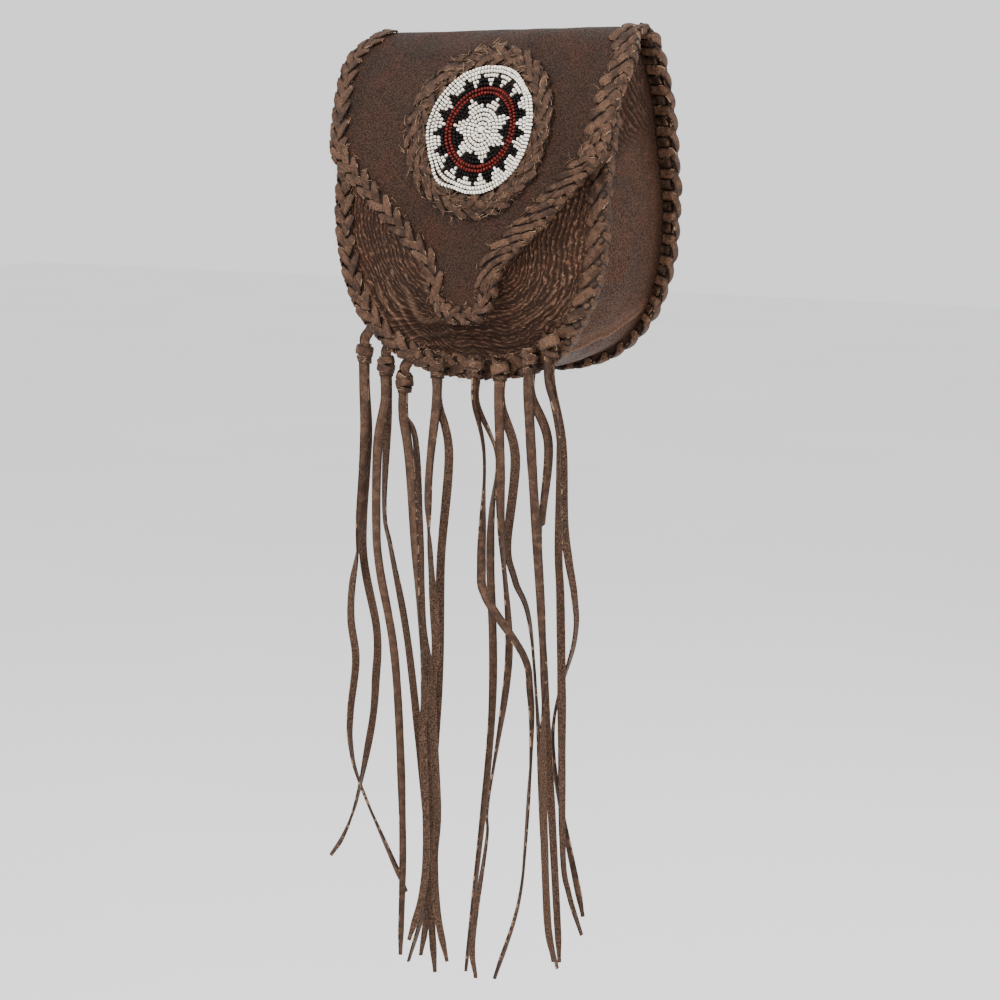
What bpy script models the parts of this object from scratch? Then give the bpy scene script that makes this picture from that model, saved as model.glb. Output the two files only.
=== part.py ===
"""Laced leather belt bag with a beaded rosette and a fringe of thongs.

Metres, +Z up. The front faces -Y and the back, where the belt runs, faces +Y.
The origin is the middle of the belt tunnel, between the belt loops and the back.

Two more coordinates are used while shaping. "forward" is the distance in front of
the back panel's outer face, and "height" is the distance above the pocket's lowest
point. Back and flap follow one folded sheet, whose "run" is the length measured
along it from the bottom of the back, up over the fold and down the front.
"""
import math
from bisect import bisect_right

import bmesh
import bpy
from mathutils import Vector

MM = 0.001

# Pocket
BODY_WIDTH = 0.168
BODY_HEIGHT = 0.1775
BODY_DEPTH = 0.066
WIDEST_HEIGHT = 0.090
TOP_TAPER = 0.002
OUTLINE_POWER = 2.5
LEATHER = 0.0018
GUSSET_LEATHER = 0.0016
GAP = 0.0003
BAND_GAP = 0.0004

# Folded sheet of back and flap
BACK_STRAIGHT = 0.096
FOLD_FORWARD = 0.029
FLAP_FORWARD = 0.0765
ROLL_END_HEIGHT = 0.085
PROFILE_POWER = 1.75
ROLL_STEPS = 22

# Front panel
FRONT_TOP = 0.134
FRONT_LEAN = 0.012
LEAN_START = 0.080
FRONT_BULGE = 0.004
FRONT_MARGIN = 0.015
FRONT_RINGS = 3
FRONT_OUTLINE_POINTS = 24

# Gusset
BACK_FLANGE = 0.0105
FRONT_FLANGE = 0.0050
GUSSET_BULGE = 0.0025
GUSSET_BACK_RUN = 0.172
GUSSET_STATIONS = 38

# Flap outline, measured along the leather from the fold
FLAP_STRAIGHT_RUN = 0.0075
FLAP_STRAIGHT_RADIUS = 0.012
FLAP_BARREL_X = 0.0910
FLAP_BARREL_RUN = 0.025
FLAP_BARREL_RADIUS = 0.030
FLAP_SHOULDER_X = 0.0843
FLAP_SHOULDER_RUN = 0.0825
FLAP_SHOULDER_RADIUS = 0.012
FLAP_NECK_X = 0.0215
FLAP_NECK_RUN = 0.1395
FLAP_NECK_RADIUS = 0.022
FLAP_TIP_X = 0.0165
FLAP_TIP_RUN = 0.1665
FLAP_TIP_RADIUS = 0.015

# Edge lacing
LACE_PITCH = 0.0100
LACE_THICKNESS = 0.0014
LACE_RELIEF = 0.0007
RIM_RELIEF_SHARE = 0.4
SEAM_FACE_REACH = 0.0105
SEAM_REAR_REACH = 0.0042
BACK_SEAM_FACE_REACH = 0.0075
BACK_SEAM_REAR_REACH = 0.0095
FLAP_FACE_REACH = 0.0100
FLAP_REAR_REACH = 0.0065

# Flap hinge
HINGE_RISE = 0.0032

# Rosette
ROSETTE_X = 0.0075
ROSETTE_RUN = 0.0678
ROSETTE_STRETCH = 1.06
DISC_RADIUS = 0.0320
BACKING_THICKNESS = 0.0010
BEAD_DIAMETER = 0.0019
ROSETTE_SEAT = 0.0005
STAR_POINTS = 7
STAR_TURN = math.radians(16.0)
STAR_TIP_RADIUS = 0.0160
STAR_NOTCH_RADIUS = 0.0106
RED_INNER_RADIUS = 0.0173
RED_OUTER_RADIUS = 0.0219
TOOTH_COUNT = 17
TOOTH_ROOT_RADIUS = 0.0238
TOOTH_TIP_RADIUS = 0.0285
FIELD_GAP = 0.0004
BRAID_WIDTH = 0.0112
BRAID_SHIFT = 0.0020
BRAID_THICKNESS = 0.0022
BRAID_RELIEF = 0.0010
BRAID_STATIONS = 46

# Belt loops
BELT_HEIGHT = 0.100
BELT_WIDTH = 0.050
BELT_CLEARANCE = 0.0090
LOOP_X = 0.045
LOOP_WIDTH = 0.030
LOOP_LEATHER = 0.0020
LOOP_RAMP = 0.009
LOOP_FOOT = 0.013

# Fringe
KNOT_RADIUS = 0.0052
KNOT_HEIGHT = 0.0105
KNOT_SIDES = 8
KNOT_DEPTH_SHARE = 0.75
RIM_PITCH = 0.002
THONG_WIDTH = 0.0044
THONG_THICKNESS = 0.0014
THONG_STEP = 0.0132
THONG_SPACING = 0.0021

# Middle of each knot: x and height in millimetres. A knot with a neck hangs below the
# seam on it, and the others lie on the front of the seam.
KNOTS = {
    "knot_1": (-71, 8, "neck"),
    "knot_2": (-57, 2, "neck"),
    "knot_3": (-45, -6, "neck"),
    "knot_4": (-18, 4, "front"),
    "knot_5": (6, 5, "front"),
    "knot_6": (21, 5, "front"),
    "knot_7": (39, 12, "front"),
    "knot_8": (51, 19, "front"),
}

# Each thong's knot, its place under the knot (-1 behind, 1 in front), and the points chosen
# by hand along it: x, forward, height in millimetres.
THONGS = {
    "thong_1a": ("knot_1", 1, [
        (-71, 65, -39), (-77, 64, -98), (-81, 64, -120), (-82, 64, -139), (-79, 64, -161),
        (-83, 64, -191), (-83, 64, -210), (-76, 64, -232), (-46, 64, -287)]),
    "thong_1b": ("knot_1", -1, [
        (-71, 62, -39), (-78, 58, -99), (-69, 58, -144), (-70, 58, -172), (-73, 58, -198),
        (-84, 58, -243), (-93, 58, -264), (-102, 58, -277)]),
    "thong_2a": ("knot_2", 1, [
        (-60, 68, -40), (-60, 70, -82), (-58, 70, -107), (-48, 70, -159), (-44, 70, -249),
        (-46, 70, -321)]),
    "thong_2b": ("knot_2", -1, [
        (-58, 62, -30), (-64, 57, -78), (-61, 55, -100), (-50, 54, -157), (-38, 54, -264),
        (-41, 54, -296), (-52, 54, -331)]),
    "thong_3a": ("knot_3", 1, [
        (-38, 70, -48), (-29, 76, -115), (-25, 76, -168), (-26, 76, -196), (-24, 76, -251),
        (-27, 76, -282), (-36, 76, -309)]),
    "thong_3b": ("knot_3", -1, [
        (-38, 64, -38), (-36, 64, -90), (-34, 65, -133), (-30, 65, -158), (-30, 65, -182),
        (-29, 65, -240), (-32, 65, -297), (-36, 65, -321)]),
    "thong_4a": ("knot_4", 1, [
        (-24, 73, -67), (-21, 71, -142), (-24, 70, -171), (-21, 70, -235), (-23, 70, -263),
        (-21, 70, -294), (-15, 70, -319)]),
    "thong_4b": ("knot_4", -1, [
        (-14, 68, -42), (-25, 60, -101), (-26, 60, -155), (-30, 60, -211), (-35, 60, -243),
        (-31, 60, -273), (-32, 60, -302), (-30, 60, -331)]),
    "thong_5a": ("knot_5", 1, [
        (12, 74, -40), (11, 75, -95), (14, 75, -114), (37, 75, -142), (41, 75, -160),
        (42, 75, -186), (38, 75, -246), (33, 75, -280), (19, 75, -320)]),
    "thong_5b": ("knot_5", -1, [
        (16, 68, -40), (9, 62, -70), (6, 59, -98), (6, 58, -184), (-11, 58, -327)]),
    "thong_6a": ("knot_6", 1, [
        (22, 74, -42), (20, 70, -81), (24, 69, -147), (11, 69, -225), (10, 69, -247),
        (1, 69, -304), (3, 69, -325)]),
    "thong_6b": ("knot_6", -1, [
        (28, 69, -40), (20, 64, -87), (24, 63, -106), (35, 63, -139), (44, 63, -270),
        (47, 63, -297), (51, 63, -312)]),
    "thong_7a": ("knot_7", 1, [
        (41, 74, -37), (47, 72, -139), (47, 72, -202), (50, 72, -279), (54, 72, -305)]),
    "thong_7b": ("knot_7", -1, [
        (48, 69, -31), (43, 67, -72), (41, 66, -98), (54, 66, -307)]),
    "thong_8a": ("knot_8", 1, [
        (56, 72, -26), (50, 62, -88), (50, 60, -113), (51, 60, -164), (52, 60, -247),
        (56, 60, -271), (64, 60, -292)]),
    "thong_8b": ("knot_8", -1, [
        (54, 66, -30), (50, 57, -73), (51, 54, -93), (55, 54, -114), (55, 54, -136),
        (42, 54, -194), (61, 54, -284)]),
}

LEATHER_BROWN = (0.075, 0.036, 0.022)
FRONT_BROWN = (0.070, 0.032, 0.020)
LACE_BROWN = (0.150, 0.080, 0.048)
THONG_BROWN = (0.115, 0.062, 0.040)
BEAD_WHITE = (0.80, 0.77, 0.70)
BEAD_BLACK = (0.012, 0.012, 0.013)
BEAD_RED = (0.30, 0.018, 0.012)


def smooth(share):
    """Ease from 0 to 1 without a kink at either end."""
    share = min(1.0, max(0.0, share))
    return share * share * (3.0 - 2.0 * share)


def mix(low, high, share):
    return low + (high - low) * share


def world(x, forward, height):
    """A place in the bag as a world vector."""
    return Vector((x, -forward - BELT_CLEARANCE / 2.0, height - BELT_HEIGHT))


def distance_2d(a, b):
    return math.hypot(b[0] - a[0], b[1] - a[1])


def resample(points, count):
    """The open outline as count points at even spacing."""
    total = [0.0]
    for a, b in zip(points, points[1:]):
        total.append(total[-1] + distance_2d(a, b))
    result = []
    for step in range(count):
        target = total[-1] * step / (count - 1)
        index = min(bisect_right(total, target), len(points) - 1)
        share = (target - total[index - 1]) / (total[index] - total[index - 1])
        a, b = points[index - 1], points[index]
        result.append((mix(a[0], b[0], share), mix(a[1], b[1], share)))
    return result


def outline_length(points):
    return sum(distance_2d(a, b) for a, b in zip(points, points[1:]))


def rounded(corners):
    """Turn corners (x, y, radius) of an open outline into points, with arcs at the corners."""
    points = [corners[0][:2]]
    for before, corner, after in zip(corners, corners[1:], corners[2:]):
        here = Vector(corner[:2])
        into = (Vector(before[:2]) - here).normalized()
        out = (Vector(after[:2]) - here).normalized()
        half_angle = into.angle(out) / 2.0
        tangent = corner[2] / math.tan(half_angle)
        centre = here + (into + out).normalized() * corner[2] / math.sin(half_angle)
        first = here + into * tangent - centre
        last = here + out * tangent - centre
        turn = first.angle_signed(last)
        steps = max(3, round(abs(turn) / math.radians(15)))
        for step in range(steps + 1):
            angle = math.atan2(first.y, first.x) - turn * step / steps
            points.append((centre.x + corner[2] * math.cos(angle), centre.y + corner[2] * math.sin(angle)))
    points.append(corners[-1][:2])
    return points


def quarter(width, height, steps):
    """Quarter of a superellipse, from its side to its top."""
    power = 2.0 / PROFILE_POWER
    for step in range(steps + 1):
        angle = math.pi / 2.0 * step / steps
        yield width * math.cos(angle) ** power, height * math.sin(angle) ** power


def sheet_profile():
    """Side view of the folded sheet: (forward, height) up the back and down the front."""
    back = [(0.0, 0.0)]
    for inward, up in quarter(FOLD_FORWARD, BODY_HEIGHT - BACK_STRAIGHT, ROLL_STEPS):
        back.append((FOLD_FORWARD - inward, BACK_STRAIGHT + up))
    front = []
    for out, up in quarter(FLAP_FORWARD - FOLD_FORWARD, BODY_HEIGHT - ROLL_END_HEIGHT, ROLL_STEPS):
        front.append((FOLD_FORWARD + out, ROLL_END_HEIGHT + up))
    front.insert(0, (FLAP_FORWARD, -BODY_HEIGHT))
    front.reverse()
    return back + front[1:], len(back) - 1


PROFILE, FOLD_INDEX = sheet_profile()
RUNS = [0.0]
for start, end in zip(PROFILE, PROFILE[1:]):
    RUNS.append(RUNS[-1] + distance_2d(start, end))
FOLD_RUN = RUNS[FOLD_INDEX]


def profile_normal(index):
    """Outward direction of the folded sheet at one profile point."""
    before = PROFILE[max(index - 1, 0)]
    after = PROFILE[min(index + 1, len(PROFILE) - 1)]
    if index == 1:
        before = PROFILE[0]
        after = PROFILE[1]
    normal = Vector((before[1] - after[1], after[0] - before[0]))
    return normal.normalized()


def sheet_point(x, run, out=0.0):
    """A place on the folded sheet's outer face, or out from it."""
    index = max(1, min(bisect_right(RUNS, run), len(RUNS) - 1))
    share = (run - RUNS[index - 1]) / (RUNS[index] - RUNS[index - 1])
    a, b = PROFILE[index - 1], PROFILE[index]
    normal = profile_normal(index - 1).lerp(profile_normal(index), share).normalized()
    return world(x, mix(a[0], b[0], share) + normal.x * out, mix(a[1], b[1], share) + normal.y * out)


def front_point(x, height, out=0.0):
    """A place on the front panel's outer face without its bulge, or out from it."""
    rise = max(0.0, (height - LEAN_START) / (FRONT_TOP - LEAN_START))
    return world(x, BODY_DEPTH - FRONT_LEAN * rise * rise + out, height)


def pocket_half_outline(top):
    """Right half of the pocket's outline, from the bottom's middle up to the top."""
    power = 2.0 / OUTLINE_POWER
    points = []
    for step in range(33):
        angle = math.pi / 2.0 * step / 32
        points.append((BODY_WIDTH / 2.0 * math.sin(angle) ** power,
                       WIDEST_HEIGHT * (1.0 - math.cos(angle) ** power)))
    for step in range(1, 9):
        height = mix(WIDEST_HEIGHT, top, step / 8)
        taper = TOP_TAPER * smooth((height - WIDEST_HEIGHT) / (FOLD_RUN - WIDEST_HEIGHT))
        points.append((BODY_WIDTH / 2.0 - taper, height))
    return points


def flap_half_outline():
    """Right half of the flap's outline, from the fold down to the tip's middle."""
    corners = [
        (BODY_WIDTH / 2.0 - TOP_TAPER, 0.0, 0.0),
        (BODY_WIDTH / 2.0 - TOP_TAPER, FLAP_STRAIGHT_RUN, FLAP_STRAIGHT_RADIUS),
        (FLAP_BARREL_X, FLAP_BARREL_RUN, FLAP_BARREL_RADIUS),
        (FLAP_SHOULDER_X, FLAP_SHOULDER_RUN, FLAP_SHOULDER_RADIUS),
        (FLAP_NECK_X, FLAP_NECK_RUN, FLAP_NECK_RADIUS),
        (FLAP_TIP_X, FLAP_TIP_RUN, FLAP_TIP_RADIUS),
        (0.0, FLAP_TIP_RUN, 0.0),
    ]
    return [(x, FOLD_RUN + GAP / 2.0 + run) for x, run in rounded(corners)]


def both_sides(half):
    """The whole outline from the right end round to the left end."""
    return half + [(-x, y) for x, y in reversed(half[:-1])]


def stations(outline, pitch):
    """Evenly spaced places along an outline with their outward directions."""
    count = max(8, round(outline_length(outline) / pitch)) + 1
    points = resample(outline, count)
    result = []
    for index, point in enumerate(points):
        before = points[max(index - 1, 0)]
        after = points[min(index + 1, count - 1)]
        along = Vector((after[0] - before[0], after[1] - before[1])).normalized()
        result.append((point[0], point[1], along.y, -along.x))
    if result[count // 2][3] > 0.0 and points[count // 2][1] < points[0][1]:
        result = [(x, y, -nx, -ny) for x, y, nx, ny in result]
    if result[count // 2][3] < 0.0 and points[count // 2][1] > points[0][1]:
        result = [(x, y, -nx, -ny) for x, y, nx, ny in result]
    return result


def remove_everything():
    for obj in list(bpy.data.objects):
        bpy.data.objects.remove(obj, do_unlink=True)


def make_material(name, colour, roughness):
    material = bpy.data.materials.new(name)
    material.use_nodes = True
    shader = material.node_tree.nodes["Principled BSDF"]
    shader.inputs["Base Color"].default_value = (*colour, 1.0)
    shader.inputs["Roughness"].default_value = roughness
    shader.inputs["Metallic"].default_value = 0.0
    return material


def link(name, data, colour, roughness, pivot=None):
    """Put a piece in the scene, under its pivot if it has one."""
    obj = bpy.data.objects.new(name, data)
    data.materials.append(make_material(name, colour, roughness))
    obj.parent = pivot
    bpy.context.collection.objects.link(obj)
    return obj


def mesh_piece(name, shape, colour, roughness, pivot=None, sharp_angle=45.0):
    """Finish a bmesh as a named piece whose mesh is measured from its pivot."""
    bmesh.ops.recalc_face_normals(shape, faces=shape.faces)
    if pivot is not None:
        bmesh.ops.translate(shape, verts=shape.verts, vec=-pivot.location)
    mesh = bpy.data.meshes.new(name)
    shape.to_mesh(mesh)
    shape.free()
    mesh.shade_smooth()
    mesh.set_sharp_from_angle(angle=math.radians(sharp_angle))
    return link(name, mesh, colour, roughness, pivot)


def skin_loops(shape, loops, closed_loops=True):
    """Faces between each loop of vertices and the next."""
    for lower, upper in zip(loops, loops[1:]):
        count = len(lower)
        for index in range(count if closed_loops else count - 1):
            following = (index + 1) % count
            shape.faces.new((lower[index], lower[following], upper[following], upper[index]))


def sweep(sections):
    """A closed body through like sections, with flat ends."""
    shape = bmesh.new()
    loops = [[shape.verts.new(place) for place in section] for section in sections]
    skin_loops(shape, loops)
    shape.faces.new(loops[0])
    shape.faces.new(list(reversed(loops[-1])))
    return shape


def ring_sweep(sections):
    """A closed body through like sections, whose last one joins the first."""
    shape = bmesh.new()
    loops = [[shape.verts.new(place) for place in section] for section in sections]
    skin_loops(shape, loops + loops[:1])
    return shape


def thick_strip(rows, place, thickness):
    """A leather strip as wide as each row (half width, run), with its outer face at out 0."""
    sections = []
    for half_width, run in rows:
        sections.append([
            place(-half_width, run, 0.0), place(half_width, run, 0.0),
            place(half_width, run, -thickness), place(-half_width, run, -thickness),
        ])
    return sweep(sections)


def thick_panel(loops, centre, thickness):
    """A bulged leather panel from nested loops of places, outermost first, and its centre."""
    shape = bmesh.new()
    faces_out = [[shape.verts.new(place) for place in loop] for loop in loops]
    inward = Vector((0.0, thickness, 0.0))
    faces_in = [[shape.verts.new(place + inward) for place in loop] for loop in loops]
    skin_loops(shape, faces_out)
    skin_loops(shape, faces_in)
    skin_loops(shape, [faces_out[0], faces_in[0]])
    for ring, middle in ((faces_out[-1], centre), (faces_in[-1], centre + inward)):
        hub = shape.verts.new(middle)
        for a, b in zip(ring, ring[1:] + ring[:1]):
            shape.faces.new((a, b, hub))
    return shape


def edge_braid(outline, place, stack, face_reach, rear_reach, stagger=True):
    """Braided lacing wrapped round a leather edge.

    place(x, y, out) maps the flat outline onto the leather's outer face, and
    stack(y) is the thickness of leather that the lacing wraps.
    """
    sections = []
    for index, (x, y, nx, ny) in enumerate(stations(outline, LACE_PITCH / 2.0)):
        thickness = stack(y)
        top = BAND_GAP + LACE_THICKNESS
        rear = -thickness - BAND_GAP
        side = BAND_GAP + LACE_THICKNESS

        def relief(column):
            shift = column if stagger else 0
            return LACE_RELIEF * ((index + shift) % 2)

        outline_section = [
            (-face_reach, BAND_GAP),
            (BAND_GAP, BAND_GAP),
            (BAND_GAP, rear),
            (-rear_reach, rear),
            (-rear_reach, rear - LACE_THICKNESS),
            (side, rear - LACE_THICKNESS * 0.6),
            (side + relief(2) * RIM_RELIEF_SHARE, BAND_GAP + LACE_THICKNESS * 0.6),
            (-face_reach * 0.45, top + relief(1)),
            (-face_reach, top + relief(0) * 0.5),
        ]
        sections.append([place(x + n * nx, y + n * ny, out) for n, out in outline_section])
    return sweep(sections)


def make_back_panel():
    outline = pocket_half_outline(FOLD_RUN - GAP / 2.0)
    lower = resample([p for p in outline if p[1] <= WIDEST_HEIGHT], 18)[1:]
    upper = resample([p for p in outline if p[1] >= WIDEST_HEIGHT], 14)[1:]
    shape = thick_strip(lower + upper, sheet_point, LEATHER)
    mesh_piece("back_panel", shape, LEATHER_BROWN, 0.62)


def make_front_panel():
    """Front of the pocket: flat under its lacing and bulged inside it."""
    right = resample(pocket_half_outline(FRONT_TOP), FRONT_OUTLINE_POINTS)
    outline = both_sides(list(reversed(right)))
    top_edge = [(mix(-outline[0][0], outline[0][0], step / 5), FRONT_TOP) for step in range(1, 5)]
    outline += top_edge
    middle = (0.0, FRONT_TOP * 0.5)
    loops = [[front_point(x, y) for x, y in outline]]
    for ring in range(FRONT_RINGS):
        loop = []
        for x, y in outline:
            reach = distance_2d((x, y), middle)
            share = (1.0 - FRONT_MARGIN / reach) * (1.0 - ring / FRONT_RINGS)
            bulge = FRONT_BULGE * smooth(ring / FRONT_RINGS * 1.2)
            loop.append(front_point(mix(middle[0], x, share), mix(middle[1], y, share), bulge))
        loops.append(loop)
    shape = thick_panel(loops, front_point(*middle, FRONT_BULGE), LEATHER)
    mesh_piece("front_panel", shape, FRONT_BROWN, 0.6)


def make_gusset():
    """Side and bottom strip, with a flange against the back panel and one against the front."""
    right = pocket_half_outline(1.0)
    lower = [p for p in right if p[1] <= WIDEST_HEIGHT]
    half = lower + [(lower[-1][0], WIDEST_HEIGHT + 1.0)]
    span = GUSSET_BACK_RUN - WIDEST_HEIGHT
    half[-1] = (lower[-1][0], WIDEST_HEIGHT + span)
    outline = both_sides(list(reversed(half)))
    sections = []
    for x, y, nx, ny in stations(outline, outline_length(outline) / GUSSET_STATIONS):
        rise = max(0.0, y - WIDEST_HEIGHT) / span
        back_y = y
        front_y = y if rise == 0.0 else WIDEST_HEIGHT + rise * (FRONT_TOP - GAP - WIDEST_HEIGHT)
        edge = x - math.copysign(TOP_TAPER * smooth(rise), x)

        def back(inset, out):
            return sheet_point(edge - inset * nx, back_y - inset * ny, -LEATHER - GAP - out)

        def front(inset, out):
            return front_point(edge - inset * nx, front_y - inset * ny, -LEATHER - GAP - out)

        skin = GUSSET_LEATHER
        outward = Vector((nx, 0.0, ny)) * GUSSET_BULGE
        inner = (back(BACK_FLANGE + skin, 0.0), front(FRONT_FLANGE + skin, 0.0))
        outer = (back(BACK_FLANGE, skin), front(FRONT_FLANGE, skin))
        sections.append([
            back(0.0, 0.0), inner[0],
            inner[0].lerp(inner[1], 0.35) + outward, inner[0].lerp(inner[1], 0.75) + outward,
            inner[1], front(0.0, 0.0),
            front(0.0, skin), outer[1],
            outer[0].lerp(outer[1], 0.75) + outward, outer[0].lerp(outer[1], 0.35) + outward,
            outer[0], back(0.0, skin),
        ])
    mesh_piece("gusset", sweep(sections), LEATHER_BROWN, 0.62)


def make_flap(pivot):
    outline = flap_half_outline()
    rows = resample(outline, 44)
    rows = [row for row in rows if row[0] > 0.004]
    roll = [row for row in rows if row[1] < rows[-1][1]] + [rows[-1]]
    shape = thick_strip(roll, sheet_point, LEATHER)
    mesh_piece("flap", shape, LEATHER_BROWN, 0.62, pivot)


def make_lacing(pivot):
    """The three braided edges: pocket front, pocket back and flap."""
    front = both_sides(list(reversed(pocket_half_outline(FRONT_TOP))))
    shape = edge_braid(front, front_point, lambda y: LEATHER + GAP + GUSSET_LEATHER,
                       SEAM_FACE_REACH, SEAM_REAR_REACH)
    mesh_piece("front_seam_lacing", shape, LACE_BROWN, 0.7)

    def back_stack(run):
        past = smooth((run - GUSSET_BACK_RUN) / (FOLD_RUN - GUSSET_BACK_RUN))
        return LEATHER + (GAP + GUSSET_LEATHER) * (1.0 - past)

    back = both_sides(list(reversed(pocket_half_outline(FOLD_RUN - GAP / 2.0))))
    shape = edge_braid(back, sheet_point, back_stack,
                       BACK_SEAM_FACE_REACH, BACK_SEAM_REAR_REACH, stagger=False)
    mesh_piece("back_seam_lacing", shape, LACE_BROWN, 0.7)

    flap = both_sides(flap_half_outline())
    shape = edge_braid(flap, sheet_point, lambda y: LEATHER, FLAP_FACE_REACH, FLAP_REAR_REACH)
    mesh_piece("flap_edge_lacing", shape, LACE_BROWN, 0.7, pivot)


def rosette_point(radius, angle, out):
    """A place of the rosette, by radius and angle from its top, on the flap."""
    x = ROSETTE_X + radius * math.sin(angle)
    run = FOLD_RUN + ROSETTE_RUN - radius * ROSETTE_STRETCH * math.cos(angle)
    return sheet_point(x, run, out)


def field(inner, outer, count, low, high, turn=0.0):
    """A ring-shaped field of beads between two radius functions of the step."""
    sections = []
    for step in range(count):
        angle = turn + 2.0 * math.pi * step / count
        sections.append([
            rosette_point(inner(step), angle, low), rosette_point(outer(step), angle, low),
            rosette_point(outer(step), angle, high), rosette_point(inner(step), angle, high),
        ])
    return ring_sweep(sections)


def disc(radius, count, low, high, turn=0.0):
    """A disc on the flap whose edge follows a radius function of the step."""
    shape = bmesh.new()
    layers = []
    for out in (low, high):
        hub = shape.verts.new(rosette_point(0.0, 0.0, out))
        loops = []
        for share in (0.5, 1.0):
            loops.append([shape.verts.new(rosette_point(radius(step) * share,
                                                        turn + 2.0 * math.pi * step / count, out))
                          for step in range(count)])
        for a, b in zip(loops[0], loops[0][1:] + loops[0][:1]):
            shape.faces.new((hub, a, b))
        skin_loops(shape, loops)
        layers.append(loops[1])
    skin_loops(shape, layers)
    return shape


def make_rosette(pivot):
    """Beadwork disc: one piece for each colour field, on a leather backing, in a braided ring."""
    backing_top = ROSETTE_SEAT + BACKING_THICKNESS
    bead_low = backing_top + FIELD_GAP
    bead_high = bead_low + BEAD_DIAMETER
    shape = disc(lambda step: DISC_RADIUS, 28, ROSETTE_SEAT, backing_top)
    mesh_piece("rosette_backing", shape, LEATHER_BROWN, 0.8, pivot)

    star_steps = STAR_POINTS * 4

    def star(step):
        away = abs((step + 2) % 4 - 2) / 2.0
        return mix(STAR_TIP_RADIUS, STAR_NOTCH_RADIUS, away)

    shape = disc(star, star_steps, bead_low, bead_high, STAR_TURN)
    mesh_piece("beads_white_star", shape, BEAD_WHITE, 0.3, pivot)
    shape = field(lambda step: star(step) + FIELD_GAP, lambda step: RED_INNER_RADIUS - FIELD_GAP,
                  star_steps, bead_low, bead_high, STAR_TURN)
    mesh_piece("beads_black_field", shape, BEAD_BLACK, 0.2, pivot)
    shape = field(lambda step: RED_INNER_RADIUS, lambda step: RED_OUTER_RADIUS,
                  34, bead_low, bead_high)
    mesh_piece("beads_red_ring", shape, BEAD_RED, 0.25, pivot)

    def tooth(step):
        return TOOTH_TIP_RADIUS if step % 3 == 1 else TOOTH_ROOT_RADIUS

    shape = field(lambda step: RED_OUTER_RADIUS + FIELD_GAP, tooth, TOOTH_COUNT * 3, bead_low, bead_high)
    mesh_piece("beads_black_teeth", shape, BEAD_BLACK, 0.2, pivot)
    shape = field(lambda step: tooth(step) + FIELD_GAP, lambda step: DISC_RADIUS,
                  TOOTH_COUNT * 3, bead_low, bead_high)
    mesh_piece("beads_white_rim", shape, BEAD_WHITE, 0.3, pivot)

    inner = DISC_RADIUS + FIELD_GAP
    sections = []
    for step in range(BRAID_STATIONS):
        angle = 2.0 * math.pi * step / BRAID_STATIONS
        outer = inner + BRAID_WIDTH - BRAID_SHIFT * math.sin(angle)
        rise = BRAID_RELIEF * (step % 2)
        other = BRAID_RELIEF - rise
        low = ROSETTE_SEAT
        sections.append([
            rosette_point(inner, angle, low), rosette_point(outer, angle, low),
            rosette_point(outer + other, angle, low + BRAID_THICKNESS / 2.0),
            rosette_point(mix(inner, outer, 0.7), angle, low + BRAID_THICKNESS + other),
            rosette_point(mix(inner, outer, 0.3), angle, low + BRAID_THICKNESS + rise),
            rosette_point(inner, angle, low + BRAID_THICKNESS / 2.0 + other / 2.0),
        ])
    mesh_piece("rosette_braid", ring_sweep(sections), LACE_BROWN, 0.7, pivot)


def make_belt_loops():
    """Two straps on the back, each standing off the panel over the belt's width."""
    flat = BELT_WIDTH / 2.0
    ramp = flat + LOOP_RAMP
    foot = ramp + LOOP_FOOT
    offsets = [-foot, -ramp - LOOP_FOOT / 2.0, -ramp]
    offsets += [mix(-ramp, -flat, step / 4) for step in range(1, 5)]
    offsets += [mix(-flat, flat, step / 3) for step in range(1, 3)]
    offsets += [mix(flat, ramp, step / 4) for step in range(0, 5)]
    offsets += [ramp + LOOP_FOOT / 2.0, foot]
    for name, side in (("belt_loop_left", -1.0), ("belt_loop_right", 1.0)):
        sections = []
        for offset in offsets:
            lift = smooth((ramp - abs(offset)) / LOOP_RAMP)
            low = mix(GAP, BELT_CLEARANCE, lift)
            run = BELT_HEIGHT + offset
            sections.append([
                sheet_point(side * LOOP_X - LOOP_WIDTH / 2.0, run, low),
                sheet_point(side * LOOP_X + LOOP_WIDTH / 2.0, run, low),
                sheet_point(side * LOOP_X + LOOP_WIDTH / 2.0, run, low + LOOP_LEATHER),
                sheet_point(side * LOOP_X - LOOP_WIDTH / 2.0, run, low + LOOP_LEATHER),
            ])
        mesh_piece(name, sweep(sections), LEATHER_BROWN, 0.62)


def seam_rim(x, height):
    """The nearest point of the front seam's outer rim."""
    rim = LACE_RELIEF * RIM_RELIEF_SHARE + LACE_THICKNESS + BAND_GAP + GAP
    outline = both_sides(list(reversed(pocket_half_outline(WIDEST_HEIGHT + MM))))
    places = [(px + rim * nx, py + rim * ny) for px, py, nx, ny in stations(outline, RIM_PITCH)]
    return min(places, key=lambda place: distance_2d(place, (x, height)))


def knot_bottom(name):
    """Middle of a knot's flat underside as a world place."""
    x, height, kind = KNOTS[name]
    if kind == "front":
        lace_face = BODY_DEPTH + BAND_GAP + LACE_THICKNESS + LACE_RELIEF
        forward = lace_face + GAP + KNOT_RADIUS * KNOT_DEPTH_SHARE
    else:
        forward = BODY_DEPTH - LEATHER
    return world(x * MM, forward, height * MM - KNOT_HEIGHT / 2.0)


def knot_ring(centre, up, radius):
    """An oval ring of places round a knot or its neck."""
    side = Vector((0.0, 1.0, 0.0)).cross(up).normalized()
    depth = Vector((0.0, KNOT_DEPTH_SHARE, 0.0))
    ring = []
    for step in range(KNOT_SIDES):
        angle = 2.0 * math.pi * step / KNOT_SIDES
        ring.append(centre + (side * math.cos(angle) + depth * math.sin(angle)) * radius)
    return ring


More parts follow.
